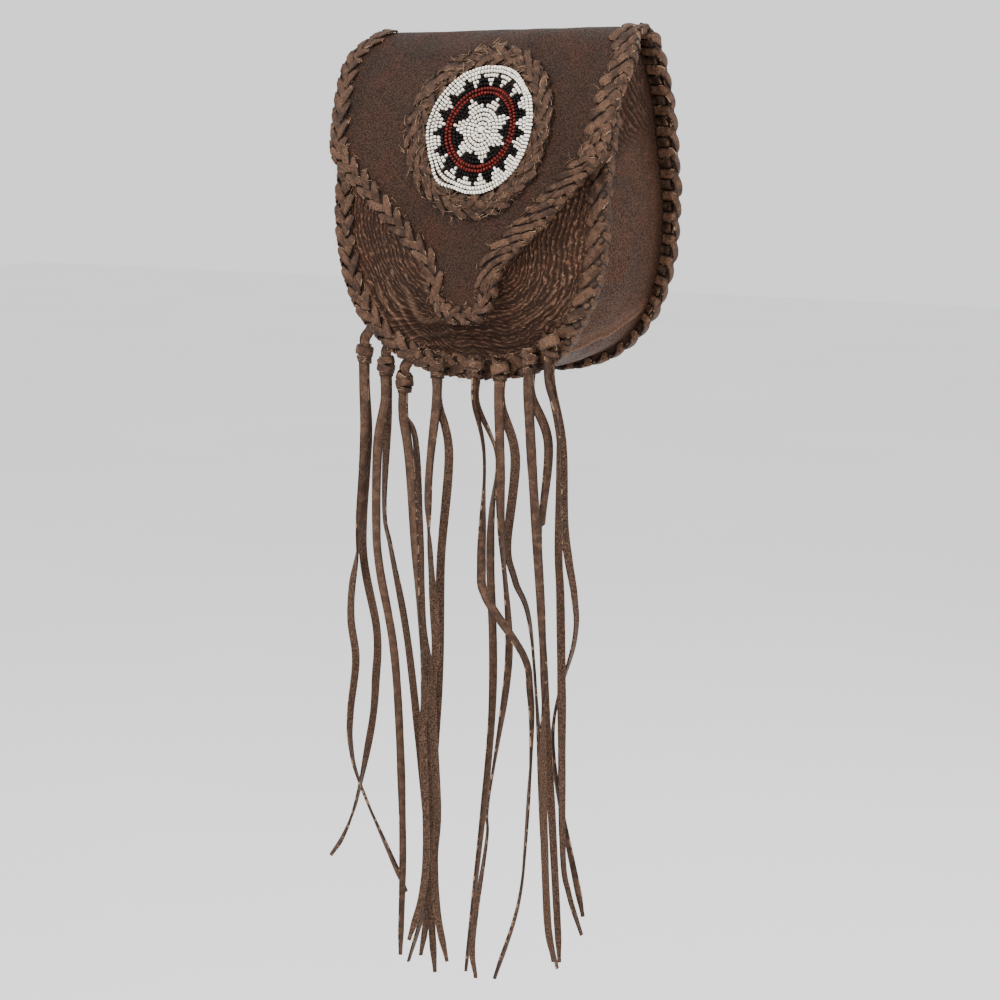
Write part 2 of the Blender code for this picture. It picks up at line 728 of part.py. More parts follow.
def make_knots():
    """Each knot is two turns of thong, and the outer ones hang on a short neck."""
    turns = [(0.0, 0.62), (0.10, 0.90), (0.30, 1.0), (0.46, 0.86), (0.60, 0.98), (0.80, 0.84), (1.0, 0.42)]
    upright = Vector((0.0, 0.0, 1.0))
    for name, (x, height, kind) in KNOTS.items():
        bottom = knot_bottom(name)
        sections = [knot_ring(bottom + upright * rise * KNOT_HEIGHT, upright, radius * KNOT_RADIUS)
                    for rise, radius in turns]
        if kind == "neck":
            rim_x, rim_height = seam_rim(x * MM, height * MM)
            rim = world(rim_x, BODY_DEPTH - LEATHER, rim_height)
            middle = bottom + upright * KNOT_HEIGHT / 2.0
            sections.append(knot_ring(rim, (rim - middle).normalized(), THONG_WIDTH / 2.0))
        mesh_piece(name, sweep(sections), LACE_BROWN, 0.7)


def curve_through(points, step):
    """Evenly spaced places on a smooth curve through the given ones."""
    ends = [points[0] * 2.0 - points[1]] + points + [points[-1] * 2.0 - points[-2]]
    dense = [points[0]]
    for p0, p1, p2, p3 in zip(ends, ends[1:], ends[2:], ends[3:]):
        for count in range(1, 17):
            t = count / 16.0
            dense.append(0.5 * (2.0 * p1 + (p2 - p0) * t + (2.0 * p0 - 5.0 * p1 + 4.0 * p2 - p3) * t * t
                                + (3.0 * p1 - p0 - 3.0 * p2 + p3) * t * t * t))
    lengths = [0.0]
    for a, b in zip(dense, dense[1:]):
        lengths.append(lengths[-1] + (b - a).length)
    pieces = max(4, round(lengths[-1] / step))
    result = []
    for piece in range(pieces + 1):
        target = lengths[-1] * piece / pieces
        index = min(bisect_right(lengths, target), len(dense) - 1)
        share = (target - lengths[index - 1]) / (lengths[index] - lengths[index - 1])
        result.append(dense[index - 1].lerp(dense[index], share))
    return result


def make_thongs():
    """Flat thongs that hang from the knots, each a ribbon along its own curve."""
    for name, (knot, place, route) in THONGS.items():
        top = knot_bottom(knot) + Vector((0.0, -place * THONG_SPACING / 2.0, -GAP))
        below = top + Vector((0.0, 0.0, -THONG_STEP))
        points = [top, below] + [world(x * MM, forward * MM, height * MM) for x, forward, height in route]
        path = [top] + curve_through(points[1:], THONG_STEP)
        ribbon = bpy.data.curves.new(name, "CURVE")
        ribbon.dimensions = "3D"
        ribbon.fill_mode = "FULL"
        ribbon.twist_mode = "MINIMUM"
        ribbon.use_fill_caps = True
        ribbon.bevel_depth = THONG_THICKNESS / 2.0
        ribbon.extrude = (THONG_WIDTH - THONG_THICKNESS) / 2.0
        ribbon.bevel_resolution = 0
        spline = ribbon.splines.new("POLY")
        spline.points.add(len(path) - 1)
        for point, location in zip(spline.points, path):
            point.co = (*location, 1.0)
            point.tilt = math.pi / 2.0
        link(name, ribbon, THONG_BROWN, 0.75)


def main():
    remove_everything()
    pivot = bpy.data.objects.new("flap_pivot", None)
    pivot.location = world(0.0, FOLD_FORWARD, BODY_HEIGHT + HINGE_RISE)
    bpy.context.collection.objects.link(pivot)
    make_back_panel()
    make_front_panel()
    make_gusset()
    make_flap(pivot)
    make_lacing(pivot)
    make_rosette(pivot)
    make_belt_loops()
    make_knots()
    make_thongs()


main()
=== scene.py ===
"""Looks of the laced leather belt bag with its beaded rosette and fringe.

Metres, in the frame of the CAD. "forward" is the distance in front of the back panel,
"height" the distance above the pocket's lowest point, and "run" the length along the
folded sheet from the bottom of the back, up over the fold and down the front.
"""
import math
import random
from bisect import bisect_right
from functools import lru_cache

import bmesh
import bpy
import numpy as np
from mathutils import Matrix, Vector, noise

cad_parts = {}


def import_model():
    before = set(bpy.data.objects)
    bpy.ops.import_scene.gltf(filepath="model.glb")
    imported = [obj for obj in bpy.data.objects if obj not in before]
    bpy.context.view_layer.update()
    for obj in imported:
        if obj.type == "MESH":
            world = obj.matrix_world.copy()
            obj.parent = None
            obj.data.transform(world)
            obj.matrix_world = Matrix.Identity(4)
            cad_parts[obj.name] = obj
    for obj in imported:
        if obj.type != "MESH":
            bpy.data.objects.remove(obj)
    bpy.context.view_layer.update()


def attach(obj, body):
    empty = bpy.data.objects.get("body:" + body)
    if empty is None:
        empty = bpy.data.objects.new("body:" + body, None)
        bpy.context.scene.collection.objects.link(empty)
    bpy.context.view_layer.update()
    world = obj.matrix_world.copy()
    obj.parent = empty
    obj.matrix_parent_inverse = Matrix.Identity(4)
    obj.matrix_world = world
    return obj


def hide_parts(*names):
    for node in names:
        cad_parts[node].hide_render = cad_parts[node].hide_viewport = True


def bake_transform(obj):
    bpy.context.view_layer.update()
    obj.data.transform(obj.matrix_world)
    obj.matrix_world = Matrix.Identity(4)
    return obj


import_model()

MM = 0.001

# Sizes that the CAD source also has
BODY_WIDTH = 0.168
BODY_HEIGHT = 0.1775
BODY_DEPTH = 0.066
WIDEST_HEIGHT = 0.090
TOP_TAPER = 0.002
OUTLINE_POWER = 2.5
LEATHER = 0.0018
GUSSET_LEATHER = 0.0016
GAP = 0.0003
BACK_STRAIGHT = 0.096
FOLD_FORWARD = 0.029
FLAP_FORWARD = 0.0765
ROLL_END_HEIGHT = 0.085
PROFILE_POWER = 1.75
PROFILE_STEPS = 60
FRONT_TOP = 0.134
FRONT_LEAN = 0.012
LEAN_START = 0.080
FRONT_BULGE = 0.004
FRONT_FLANGE = 0.0050
GUSSET_BULGE = 0.0025
GUSSET_BACK_RUN = 0.172
FLAP_CORNERS = [(0.082, 0.0075, 0.012), (0.091, 0.025, 0.030), (0.0843, 0.0825, 0.012),
                (0.0215, 0.1395, 0.022), (0.0165, 0.1665, 0.015)]
ROSETTE_X = 0.0075
ROSETTE_RUN = 0.0678
ROSETTE_STRETCH = 1.06
DISC_RADIUS = 0.0320
RING_WIDTH = 0.0112
RING_SHIFT = 0.0020
ROSETTE_SEAT = 0.0005
BELT_HEIGHT = 0.100
BELT_WIDTH = 0.050
BELT_CLEARANCE = 0.0090
LOOP_X = 0.045
LOOP_WIDTH = 0.030
LOOP_LEATHER = 0.0020
LOOP_RAMP = 0.009
LOOP_FOOT = 0.013
KNOT_RADIUS = 0.0052
KNOT_HEIGHT = 0.0105
KNOT_DEPTH_SHARE = 0.75
THONG_WIDTH = 0.0048
THONG_THICKNESS = 0.0013
THONG_STEP = 0.0132
THONG_SPACING = 0.0021
BAND_GAP = 0.0004
BAND_THICKNESS = 0.0014
BAND_RELIEF = 0.0007

# Sizes that only the looks have
THONG_MESH_STEP = 0.0022
LACE_THICKNESS = 0.0011
BROAD_LACE_THICKNESS = 0.0013
SHRED_THICKNESS = 0.0006
FIBRE_RADIUS = 0.00011
SLIGHT_FIBRE_RADIUS = 0.00009
RIDGE_PITCH = 0.0027
RIDGE_MIDDLE = 0.078  # height from which the front's ridges run straight up
PLEAT_PITCH = 0.0042
GUSSET_COLUMNS = 60
BACK_SHARE, FREE_SHARE, FRONT_SHARE = 0.16, 0.72, 0.12  # of the gusset's columns
FRONT_BRAID_START = 0.36  # share of the front seam that is whipped, from its right top
FRONT_BRAID_PITCH = 0.0112
FRONT_WHIP_PITCH = 0.0114
RUNG_PITCH = 0.0113
PLAIT_LIFT = 0.0014
PLAIT_COLUMNS = 3
TIP_HALF = 0.030  # half the length of the plait round the flap's tip
RING_PLAITS = 26
BEAD_RINGS = 15
BEAD_PITCH = DISC_RADIUS / BEAD_RINGS
BEAD_LENGTH = 0.00168
BEAD_RISE = 0.0010
BEAD_BED = 0.0010
BACKING_LEATHER = 0.0011
KNOT_LACE_STEPS = 20

# Each knot: x and height of its middle in millimetres, whether it hangs on a neck or lies on the
# front, and its turns of lace: rise, tilt, size, width and tone
KNOTS = {
    "knot_1": (-71, 8, "neck", [
        (0.12, 0.16, 1.04, 0.0050, 0.9), (-0.18, -0.4, 0.90, 0.0040, 0.3), (-0.36, 0.05, 0.76, 0.0030, 0.6)]),
    "knot_2": (-57, 2, "neck", [
        (0.20, -0.34, 1.02, 0.0044, 0.7), (-0.10, 0.3, 1.06, 0.0050, 0.4), (-0.36, -0.1, 0.80, 0.0026, 1.2)]),
    "knot_3": (-45, -6, "neck", [
        (0.22, 0.48, 0.98, 0.0046, 0.5), (-0.06, -0.30, 1.06, 0.0050, 0.9), (-0.34, 0.2, 0.84, 0.0030, 0.2)]),
    "knot_4": (-18, 4, "front", [
        (0.20, 0.62, 0.86, 0.0044, 0.6), (-0.08, -0.66, 0.86, 0.0044, 0.9), (-0.34, 0.1, 0.74, 0.0026, 0.2)]),
    "knot_5": (6, 5, "front", [
        (0.22, 0.1, 1.00, 0.0046, 1.3), (-0.14, 0.86, 0.84, 0.0034, 0.6), (-0.16, -0.86, 0.84, 0.0034, 0.3)]),
    "knot_6": (21, 5, "front", [
        (0.04, -0.34, 1.04, 0.0060, 1.9), (0.36, 0.40, 0.86, 0.0032, 0.4), (-0.36, 0.1, 0.80, 0.0026, 0.3)]),
    "knot_7": (39, 12, "front", [
        (0.16, 0.50, 1.00, 0.0048, 1.1), (-0.16, -0.40, 0.88, 0.0040, 0.4), (0.40, -0.1, 0.84, 0.0028, 0.3)]),
    "knot_8": (51, 19, "front", [
        (0.12, -0.44, 1.14, 0.0066, 2.1), (-0.30, 0.30, 0.86, 0.0034, 0.4), (0.42, 0.3, 0.80, 0.0030, 0.2)]),
}

# Each thong: the points along it below its knot (x, forward, height in millimetres), and its
# turns about its own length (share of the length, degrees). The number in its name is its
# knot's, and "a" hangs in front of "b".
THONGS = {
    "thong_1a": ([(-71, 65, -39), (-77, 64, -98), (-81, 64, -120), (-82, 64, -139), (-79, 64, -161),
                  (-83, 64, -191), (-83, 64, -210), (-76, 64, -232), (-46, 64, -287)],
                 [(0.0, 0), (0.25, 25), (0.42, 150), (0.60, 215), (0.8, 275), (1.0, 330)]),
    "thong_1b": ([(-71, 62, -39), (-78, 58, -99), (-69, 58, -144), (-70, 58, -172), (-73, 58, -198),
                  (-84, 58, -243), (-93, 58, -264), (-102, 58, -277)],
                 [(0.0, 150), (0.3, 185), (0.5, 180), (0.7, 200), (0.85, 260), (1.0, 300)]),
    "thong_2a": ([(-60, 68, -40), (-60, 70, -82), (-58, 70, -107), (-48, 70, -159), (-44, 70, -249),
                  (-46, 70, -321)],
                 [(0.0, 10), (0.3, -10), (0.6, 15), (1.0, 50)]),
    "thong_2b": ([(-58, 62, -30), (-64, 57, -78), (-61, 55, -100), (-50, 54, -157), (-38, 54, -264),
                  (-41, 54, -296), (-52, 54, -331)],
                 [(0.0, 180), (0.25, 120), (0.45, 160), (0.7, 205), (1.0, 250)]),
    "thong_3a": ([(-38, 70, -48), (-29, 76, -115), (-25, 76, -168), (-26, 76, -196), (-24, 76, -251),
                  (-27, 76, -282), (-36, 76, -309)],
                 [(0.0, 15), (0.25, -20), (0.40, -70), (0.6, -150), (1.0, -190)]),
    "thong_3b": ([(-38, 64, -38), (-36, 64, -90), (-34, 65, -133), (-30, 65, -158), (-30, 65, -182),
                  (-29, 65, -240), (-32, 65, -297), (-36, 65, -321)],
                 [(0.0, 120), (0.3, 170), (0.6, 190), (1.0, 215)]),
    "thong_4a": ([(-24, 73, -67), (-21, 71, -142), (-24, 70, -171), (-21, 70, -235), (-23, 70, -263),
                  (-21, 70, -294), (-15, 70, -319)],
                 [(0.0, -10), (0.20, -30), (0.30, -110), (0.45, -180), (1.0, -170)]),
    "thong_4b": ([(-14, 68, -42), (-25, 60, -101), (-26, 60, -155), (-30, 60, -211), (-35, 60, -243),
                  (-31, 60, -273), (-32, 60, -302), (-30, 60, -331)],
                 [(0.0, 150), (0.3, 195), (0.7, 165), (1.0, 200)]),
    "thong_5a": ([(12, 74, -40), (11, 75, -95), (14, 75, -114), (37, 75, -142), (41, 75, -160),
                  (42, 75, -186), (38, 75, -246), (33, 75, -280), (19, 75, -320)],
                 [(0.0, 70), (0.15, 95), (0.3, 20), (0.5, 55), (0.7, 110), (1.0, 60)]),
    "thong_5b": ([(16, 68, -40), (9, 62, -70), (6, 59, -98), (6, 58, -184), (-11, 58, -327)],
                 [(0.0, -40), (0.15, -80), (0.3, -20), (0.6, 40), (1.0, 80)]),
    "thong_6a": ([(22, 74, -42), (20, 70, -81), (24, 69, -147), (11, 69, -225), (10, 69, -247),
                  (1, 69, -304), (3, 69, -325)],
                 [(0.0, 0), (0.15, 15), (0.30, 80), (0.45, 40), (0.7, 100), (1.0, 150)]),
    "thong_6b": ([(28, 69, -40), (20, 64, -87), (24, 63, -106), (35, 63, -139), (44, 63, -270),
                  (47, 63, -297), (51, 63, -312)],
                 [(0.0, 160), (0.2, 190), (0.33, 240), (0.5, 280), (0.75, 215), (1.0, 260)]),
    "thong_7a": ([(41, 74, -37), (47, 72, -139), (47, 72, -202), (50, 72, -279), (54, 72, -305)],
                 [(0.0, 0), (0.3, 10), (0.5, -40), (0.65, -150), (1.0, -190)]),
    "thong_7b": ([(48, 69, -31), (43, 67, -72), (41, 66, -98), (54, 66, -307)],
                 [(0.0, 10), (0.3, 55), (0.5, 150), (0.8, 190), (1.0, 200)]),
    "thong_8a": ([(56, 72, -26), (50, 62, -88), (50, 60, -113), (51, 60, -164), (52, 60, -247),
                  (56, 60, -271), (64, 60, -292)],
                 [(0.0, 40), (0.2, 130), (0.35, 160), (0.6, 190), (1.0, 250)]),
    "thong_8b": ([(54, 66, -30), (50, 57, -73), (51, 54, -93), (55, 54, -114), (55, 54, -136),
                  (42, 54, -194), (61, 54, -284)],
                 [(0.0, 160), (0.3, 200), (0.5, 250), (0.75, 300), (1.0, 340)]),
}


def smooth(share):
    share = min(1.0, max(0.0, share))
    return share * share * (3.0 - 2.0 * share)


def mix(low, high, share):
    return low + (high - low) * share


def world(x, forward, height):
    return Vector((x, -forward - BELT_CLEARANCE / 2.0, height - BELT_HEIGHT))


def bump_at(distance, radius):
    """A smooth hill that is 1 at no distance and 0 from the radius on."""
    return smooth(1.0 - distance / radius)


def wave(x, y, size, seed=0.0):
    """Soft noise from about -1 to 1 over a flat plane."""
    return noise.noise(Vector((x / size, y / size, seed)))


def distance_2d(a, b):
    return math.hypot(b[0] - a[0], b[1] - a[1])


def distance_3d(a, b):
    return (b - a).length


def running_lengths(points, distance=distance_2d):
    """The length along the points up to each of them."""
    lengths = [0.0]
    for a, b in zip(points, points[1:]):
        lengths.append(lengths[-1] + distance(a, b))
    return lengths


def find(lengths, target):
    """The step that holds target, by the index of its end, and the share of the step before it."""
    index = max(1, min(bisect_right(lengths, target), len(lengths) - 1))
    return index, (target - lengths[index - 1]) / max(lengths[index] - lengths[index - 1], 1e-9)


def resample(points, count):
    """The open outline as count points at even spacing."""
    lengths = running_lengths(points)
    result = []
    for step in range(count):
        index, share = find(lengths, lengths[-1] * step / (count - 1))
        a, b = points[index - 1], points[index]
        result.append((mix(a[0], b[0], share), mix(a[1], b[1], share)))
    return result


def rounded(corners):
    """Turn corners (x, y, radius) of an open outline into points, with arcs at the corners."""
    points = [corners[0][:2]]
    for before, (x, y, radius), after in zip(corners, corners[1:], corners[2:]):
        here = Vector((x, y))
        into = (Vector(before[:2]) - here).normalized()
        out = (Vector(after[:2]) - here).normalized()
        half_angle = into.angle(out) / 2.0
        tangent = radius / math.tan(half_angle)
        centre = here + (into + out).normalized() * radius / math.sin(half_angle)
        first = here + into * tangent - centre
        turn = first.angle_signed(here + out * tangent - centre)
        steps = max(5, round(abs(turn) / math.radians(8)))
        for step in range(steps + 1):
            angle = math.atan2(first.y, first.x) - turn * step / steps
            points.append((centre.x + radius * math.cos(angle), centre.y + radius * math.sin(angle)))
    points.append(corners[-1][:2])
    return points


def quarter(width, height):
    power = 2.0 / PROFILE_POWER
    for step in range(PROFILE_STEPS + 1):
        angle = math.pi / 2.0 * step / PROFILE_STEPS
        yield width * math.cos(angle) ** power, height * math.sin(angle) ** power


def sheet_profile():
    """Side view of the folded sheet: (forward, height) up the back and down the front."""
    back = [(0.0, 0.0)]
    for inward, up in quarter(FOLD_FORWARD, BODY_HEIGHT - BACK_STRAIGHT):
        back.append((FOLD_FORWARD - inward, BACK_STRAIGHT + up))
    front = [(FLAP_FORWARD, -BODY_HEIGHT)]
    for out, up in quarter(FLAP_FORWARD - FOLD_FORWARD, BODY_HEIGHT - ROLL_END_HEIGHT):
        front.append((FOLD_FORWARD + out, ROLL_END_HEIGHT + up))
    return back + front[-2::-1], len(back) - 1


def profile_normal(index):
    before = PROFILE[max(index - 1, 0)]
    after = PROFILE[min(index + 1, len(PROFILE) - 1)]
    return Vector((before[1] - after[1], after[0] - before[0])).normalized()


PROFILE, FOLD_INDEX = sheet_profile()
RUNS = running_lengths(PROFILE)
FOLD_RUN = RUNS[FOLD_INDEX]
NORMALS = [profile_normal(index) for index in range(len(PROFILE))]
NORMALS[1] = NORMALS[0]


def sheet_relief(x, run):
    """How far the soft leather stands out from the plain fold."""
    past = run - FOLD_RUN
    swell = 0.0009 * wave(x, run, 0.050, 3.0) + 0.0003 * wave(x, run, 0.016, 5.0)
    dent = -0.0016 * bump_at(math.hypot((x + 0.030) / 1.6, past - 0.012), 0.014)
    dent += 0.0012 * bump_at(math.hypot((x - 0.020) / 2.0, past - 0.016), 0.016)
    sag = 0.0008 * math.sin(x * 26.0 + 0.6) * bump_at(abs(past - 0.010), 0.030)
    return swell + dent + sag


def sheet_point(x, run, out):
    """A place out from the folded sheet's outer face. The right side has shrunk in a little."""
    past = run - FOLD_RUN
    pull = mix(0.0012, 0.0042, smooth((past + 0.012) / 0.034)) * smooth((0.120 - past) / 0.034)
    index, share = find(RUNS, run)
    a, b = PROFILE[index - 1], PROFILE[index]
    normal = NORMALS[index - 1].lerp(NORMALS[index], share).normalized()
    out += sheet_relief(x, run)
    x -= pull * smooth((x - 0.045) / 0.036)
    return world(x, mix(a[0], b[0], share) + normal.x * out, mix(a[1], b[1], share) + normal.y * out)


def front_point(x, height, out):
    """A place out from the front panel's outer face without its bulge. The pocket's front has
    sagged a little to the left."""
    rise = max(0.0, (height - LEAN_START) / (FRONT_TOP - LEAN_START))
    side = 0.0054 * smooth((x - 0.020) / 0.050) + 0.0024 * smooth((-x - 0.020) / 0.050)
    x -= side * smooth((height - 0.001) / 0.030)
    return world(x, BODY_DEPTH - FRONT_LEAN * rise * rise + out, height)


def pocket_half_outline(top):
    """The pocket's right side from its lowest point up."""
    power = 2.0 / OUTLINE_POWER
    points = []
    for step in range(97):
        angle = math.pi / 2.0 * step / 96
        points.append((BODY_WIDTH / 2.0 * math.sin(angle) ** power,
                       WIDEST_HEIGHT * (1.0 - math.cos(angle) ** power)))
    for step in range(1, 25):
        height = mix(WIDEST_HEIGHT, top, step / 24)
        taper = TOP_TAPER * smooth((height - WIDEST_HEIGHT) / (FOLD_RUN - WIDEST_HEIGHT))
        points.append((BODY_WIDTH / 2.0 - taper, height))
    return points


def both_sides(half):
    return half + [(-x, y) for x, y in reversed(half[:-1])]


def pocket_outline(top):
    """The pocket's outline from the right top down, round and up to the left top."""
    return both_sides(pocket_half_outline(top)[::-1])


def pocket_rows(top, low_count, high_count):
    """The pocket's half width and height at each row of a mesh, from below."""
    half = pocket_half_outline(top)
    lower = resample([p for p in half if p[1] <= WIDEST_HEIGHT], low_count)
    upper = resample([p for p in half if p[1] >= WIDEST_HEIGHT], high_count)
    return lower[1:] + upper[1:]


def flap_half_outline():
    corners = [(BODY_WIDTH / 2.0 - TOP_TAPER, 0.0, 0.0), *FLAP_CORNERS, (0.0, FLAP_CORNERS[-1][1], 0.0)]
    return [(x, FOLD_RUN + run) for x, run in rounded(corners)]


def curve_through(points, step):
    """Evenly spaced places on a smooth curve through the given ones."""
    ends = [points[0] * 2.0 - points[1]] + points + [points[-1] * 2.0 - points[-2]]
    dense = [points[0]]
    for p0, p1, p2, p3 in zip(ends, ends[1:], ends[2:], ends[3:]):
        for count in range(1, 25):
            t = count / 24.0
            dense.append(0.5 * (2.0 * p1 + (p2 - p0) * t + (2.0 * p0 - 5.0 * p1 + 4.0 * p2 - p3) * t * t
                                + (3.0 * p1 - p0 - 3.0 * p2 + p3) * t * t * t))
    lengths = running_lengths(dense, distance_3d)
    pieces = max(4, round(lengths[-1] / step))
    result = []
    for piece in range(pieces + 1):
        index, share = find(lengths, lengths[-1] * piece / pieces)
        result.append(dense[index - 1].lerp(dense[index], share))
    return result


def along_points(points, share):
    place = min(max(share, 0.0), 1.0) * (len(points) - 1)
    index = min(int(place), len(points) - 2)
    return points[index].lerp(points[index + 1], place - index)


class Edge:
    """A leather edge that is walked by its length s, with n outward from it in the leather's
    plane and out away from the leather's face. stack gives the thickness of the leather there."""

    def __init__(self, outline, place=None, stack=None):
        self.place_on = place
        self.stack = stack
        count = round(running_lengths(outline)[-1] / 0.0006) + 1
        self.points = resample(outline, count)
        self.length = running_lengths(self.points)[-1]
        middle = Vector((0.0, sum(y for _, y in self.points) / count))
        normals = []
        for index in range(count):
            a = self.points[max(index - 3, 0)]
            b = self.points[min(index + 3, count - 1)]
            normals.append(Vector((b[1] - a[1], a[0] - b[0])).normalized())
        facing = sum((Vector(p) - middle).dot(n) for p, n in zip(self.points, normals))
        self.normals = [n if facing > 0.0 else -n for n in normals]

    def at(self, s):
        place = min(max(s / self.length, 0.0), 1.0) * (len(self.points) - 1)
        index = min(int(place), len(self.points) - 2)
        share = place - index
        a, b = self.points[index], self.points[index + 1]
        normal = self.normals[index].lerp(self.normals[index + 1], share)
        return mix(a[0], b[0], share), mix(a[1], b[1], share), normal

    def point(self, s, n, out):
        x, y, normal = self.at(s)
        return self.place_on(x + n * normal.x, y + n * normal.y, out)

    def stack_at(self, s):
        return self.stack(self.at(s)[1])


# Cross-section of a cut lace: across, up, and how near its cut edge. The fringe's thongs are bowed.
LACE_SECTION = [
    (-0.50, -0.10, 1.0), (-0.47, 0.30, 0.9), (-0.30, 0.48, 0.15), (0.0, 0.52, 0.0), (0.30, 0.48, 0.15),
    (0.47, 0.30, 0.9), (0.50, -0.10, 1.0), (0.44, -0.50, 0.8), (0.0, -0.50, 0.3), (-0.44, -0.50, 0.8),
]
THONG_SECTION = [(across, rise + 0.25 * (1.0 - 4.0 * across * across), near)
                 for across, rise, near in LACE_SECTION]


class Shape:
    """The vertices and faces of one piece, with what its material reads at each vertex."""

    def __init__(self):
        self.places, self.faces = [], []
        self.grain, self.tone, self.rim, self.phase = [], [], [], []

    def vertex(self, place, grain, tone=0.5, rim=0.0, phase=0.0):
        self.places.append(tuple(place))
        self.grain.append(tuple(grain))
        self.tone.append(tone)
        self.rim.append(rim)
        self.phase.append(phase)
        return len(self.places) - 1

    def bridge(self, loops, closed=True):
        for lower, upper in zip(loops, loops[1:]):
            count = len(lower)
            for index in range(count if closed else count - 1):
                following = (index + 1) % count
                self.faces.append((lower[index], lower[following], upper[following], upper[index]))

    def tube(self, loops):
        """A closed body along its loops, with both ends."""
        self.bridge(loops)
        self.faces.append(tuple(reversed(loops[0])))
        self.faces.append(tuple(loops[-1]))

    def plate(self, skins):
        """A closed body between an outer and an inner skin, which are rows of vertices."""
        outer, inner = skins
        self.bridge(outer, closed=False)
        self.bridge(inner, closed=False)
        for end in (0, -1):
            self.bridge([outer[end], inner[end]], closed=False)
            self.bridge([[row[end] for row in outer], [row[end] for row in inner]], closed=False)

    def strip(self, centres, ups, widths, thickness, tone, origin, closed=False, section=LACE_SECTION,
              suede=False):
        """A flat lace along its centres, with its smooth face towards ups. widths is a list, or
        one width for all. A suede lace has a rough underside."""
        count = len(centres)
        if not isinstance(widths, list):
            widths = [widths] * count
        loops = []
        length = 0.0
        for index in range(count):
            before = centres[index - 1] if closed or index else centres[0]
            after = centres[(index + 1) % count] if closed or index < count - 1 else centres[-1]
            along = (after - before).normalized()
            up = ups[index] - along * ups[index].dot(along)
            up.normalize()
            side = along.cross(up)
            if index:
                length += (centres[index] - centres[index - 1]).length
            loop = []
            for across, rise, near in section:
                place = centres[index] + side * across * widths[index] + up * rise * thickness
                grain = (origin + length, across * widths[index], origin * 0.37)
                rough = 2.0 if suede and rise < -0.2 else 0.0
                loop.append(self.vertex(place, grain, tone, near + rough))
            loops.append(loop)
        if closed:
            self.bridge(loops + loops[:1])
        else:
            self.tube(loops)

    def fibre(self, start, along, up, length, chance, root=FIBRE_RADIUS):
        """A pale torn fibre that stands off the edge of a lace."""
        side = along.cross(up).normalized()
        curl = chance.uniform(-0.8, 0.8)
        rise = chance.uniform(0.02, 0.28)
        loops = []
        steps = 5
        for step in range(steps + 1):
            share = step / steps
            centre = (start + along * length * share + side * curl * length * share * share
                      + up * (rise * length * math.sin(share * 2.2)))
            radius = root * (1.0 - 0.75 * share)
            loop = []
            for corner in range(3):
                angle = 2.0 * math.pi * corner / 3
                place = centre + (side * math.cos(angle) + up * math.sin(angle)) * radius
                loop.append(self.vertex(place, (0.0, 0.0, 0.0), 1.0, -1.0))
            loops.append(loop)
        self.tube(loops)

    def piece(self, name, material, sharp=40.0):
        mesh = bpy.data.meshes.new(name)
        mesh.from_pydata(self.places, [], self.faces)
        for key, kind, values in (("grain", "FLOAT_VECTOR", self.grain), ("tone", "FLOAT", self.tone),
                                  ("rim", "FLOAT", self.rim), ("phase", "FLOAT", self.phase)):
            layer = mesh.attributes.new(key, kind, "POINT")
            layer.data.foreach_set("vector" if kind == "FLOAT_VECTOR" else "value",
                                   np.array(values, np.float32).ravel())
        mesh.materials.append(material)
        mesh.validate()
        mesh.shade_smooth()
        mesh.set_sharp_from_angle(angle=math.radians(sharp))
        obj = bpy.data.objects.new(name, mesh)
        bpy.context.scene.collection.objects.link(obj)
        return obj

    def sheet(self, name, material, sharp=50.0):
        """A piece of leather, with every face turned outward."""
        obj = self.piece(name, material, sharp)
        work = bmesh.new()
        work.from_mesh(obj.data)
        bmesh.ops.recalc_face_normals(work, faces=work.faces)
        work.to_mesh(obj.data)
        work.free()
        return obj


# Materials


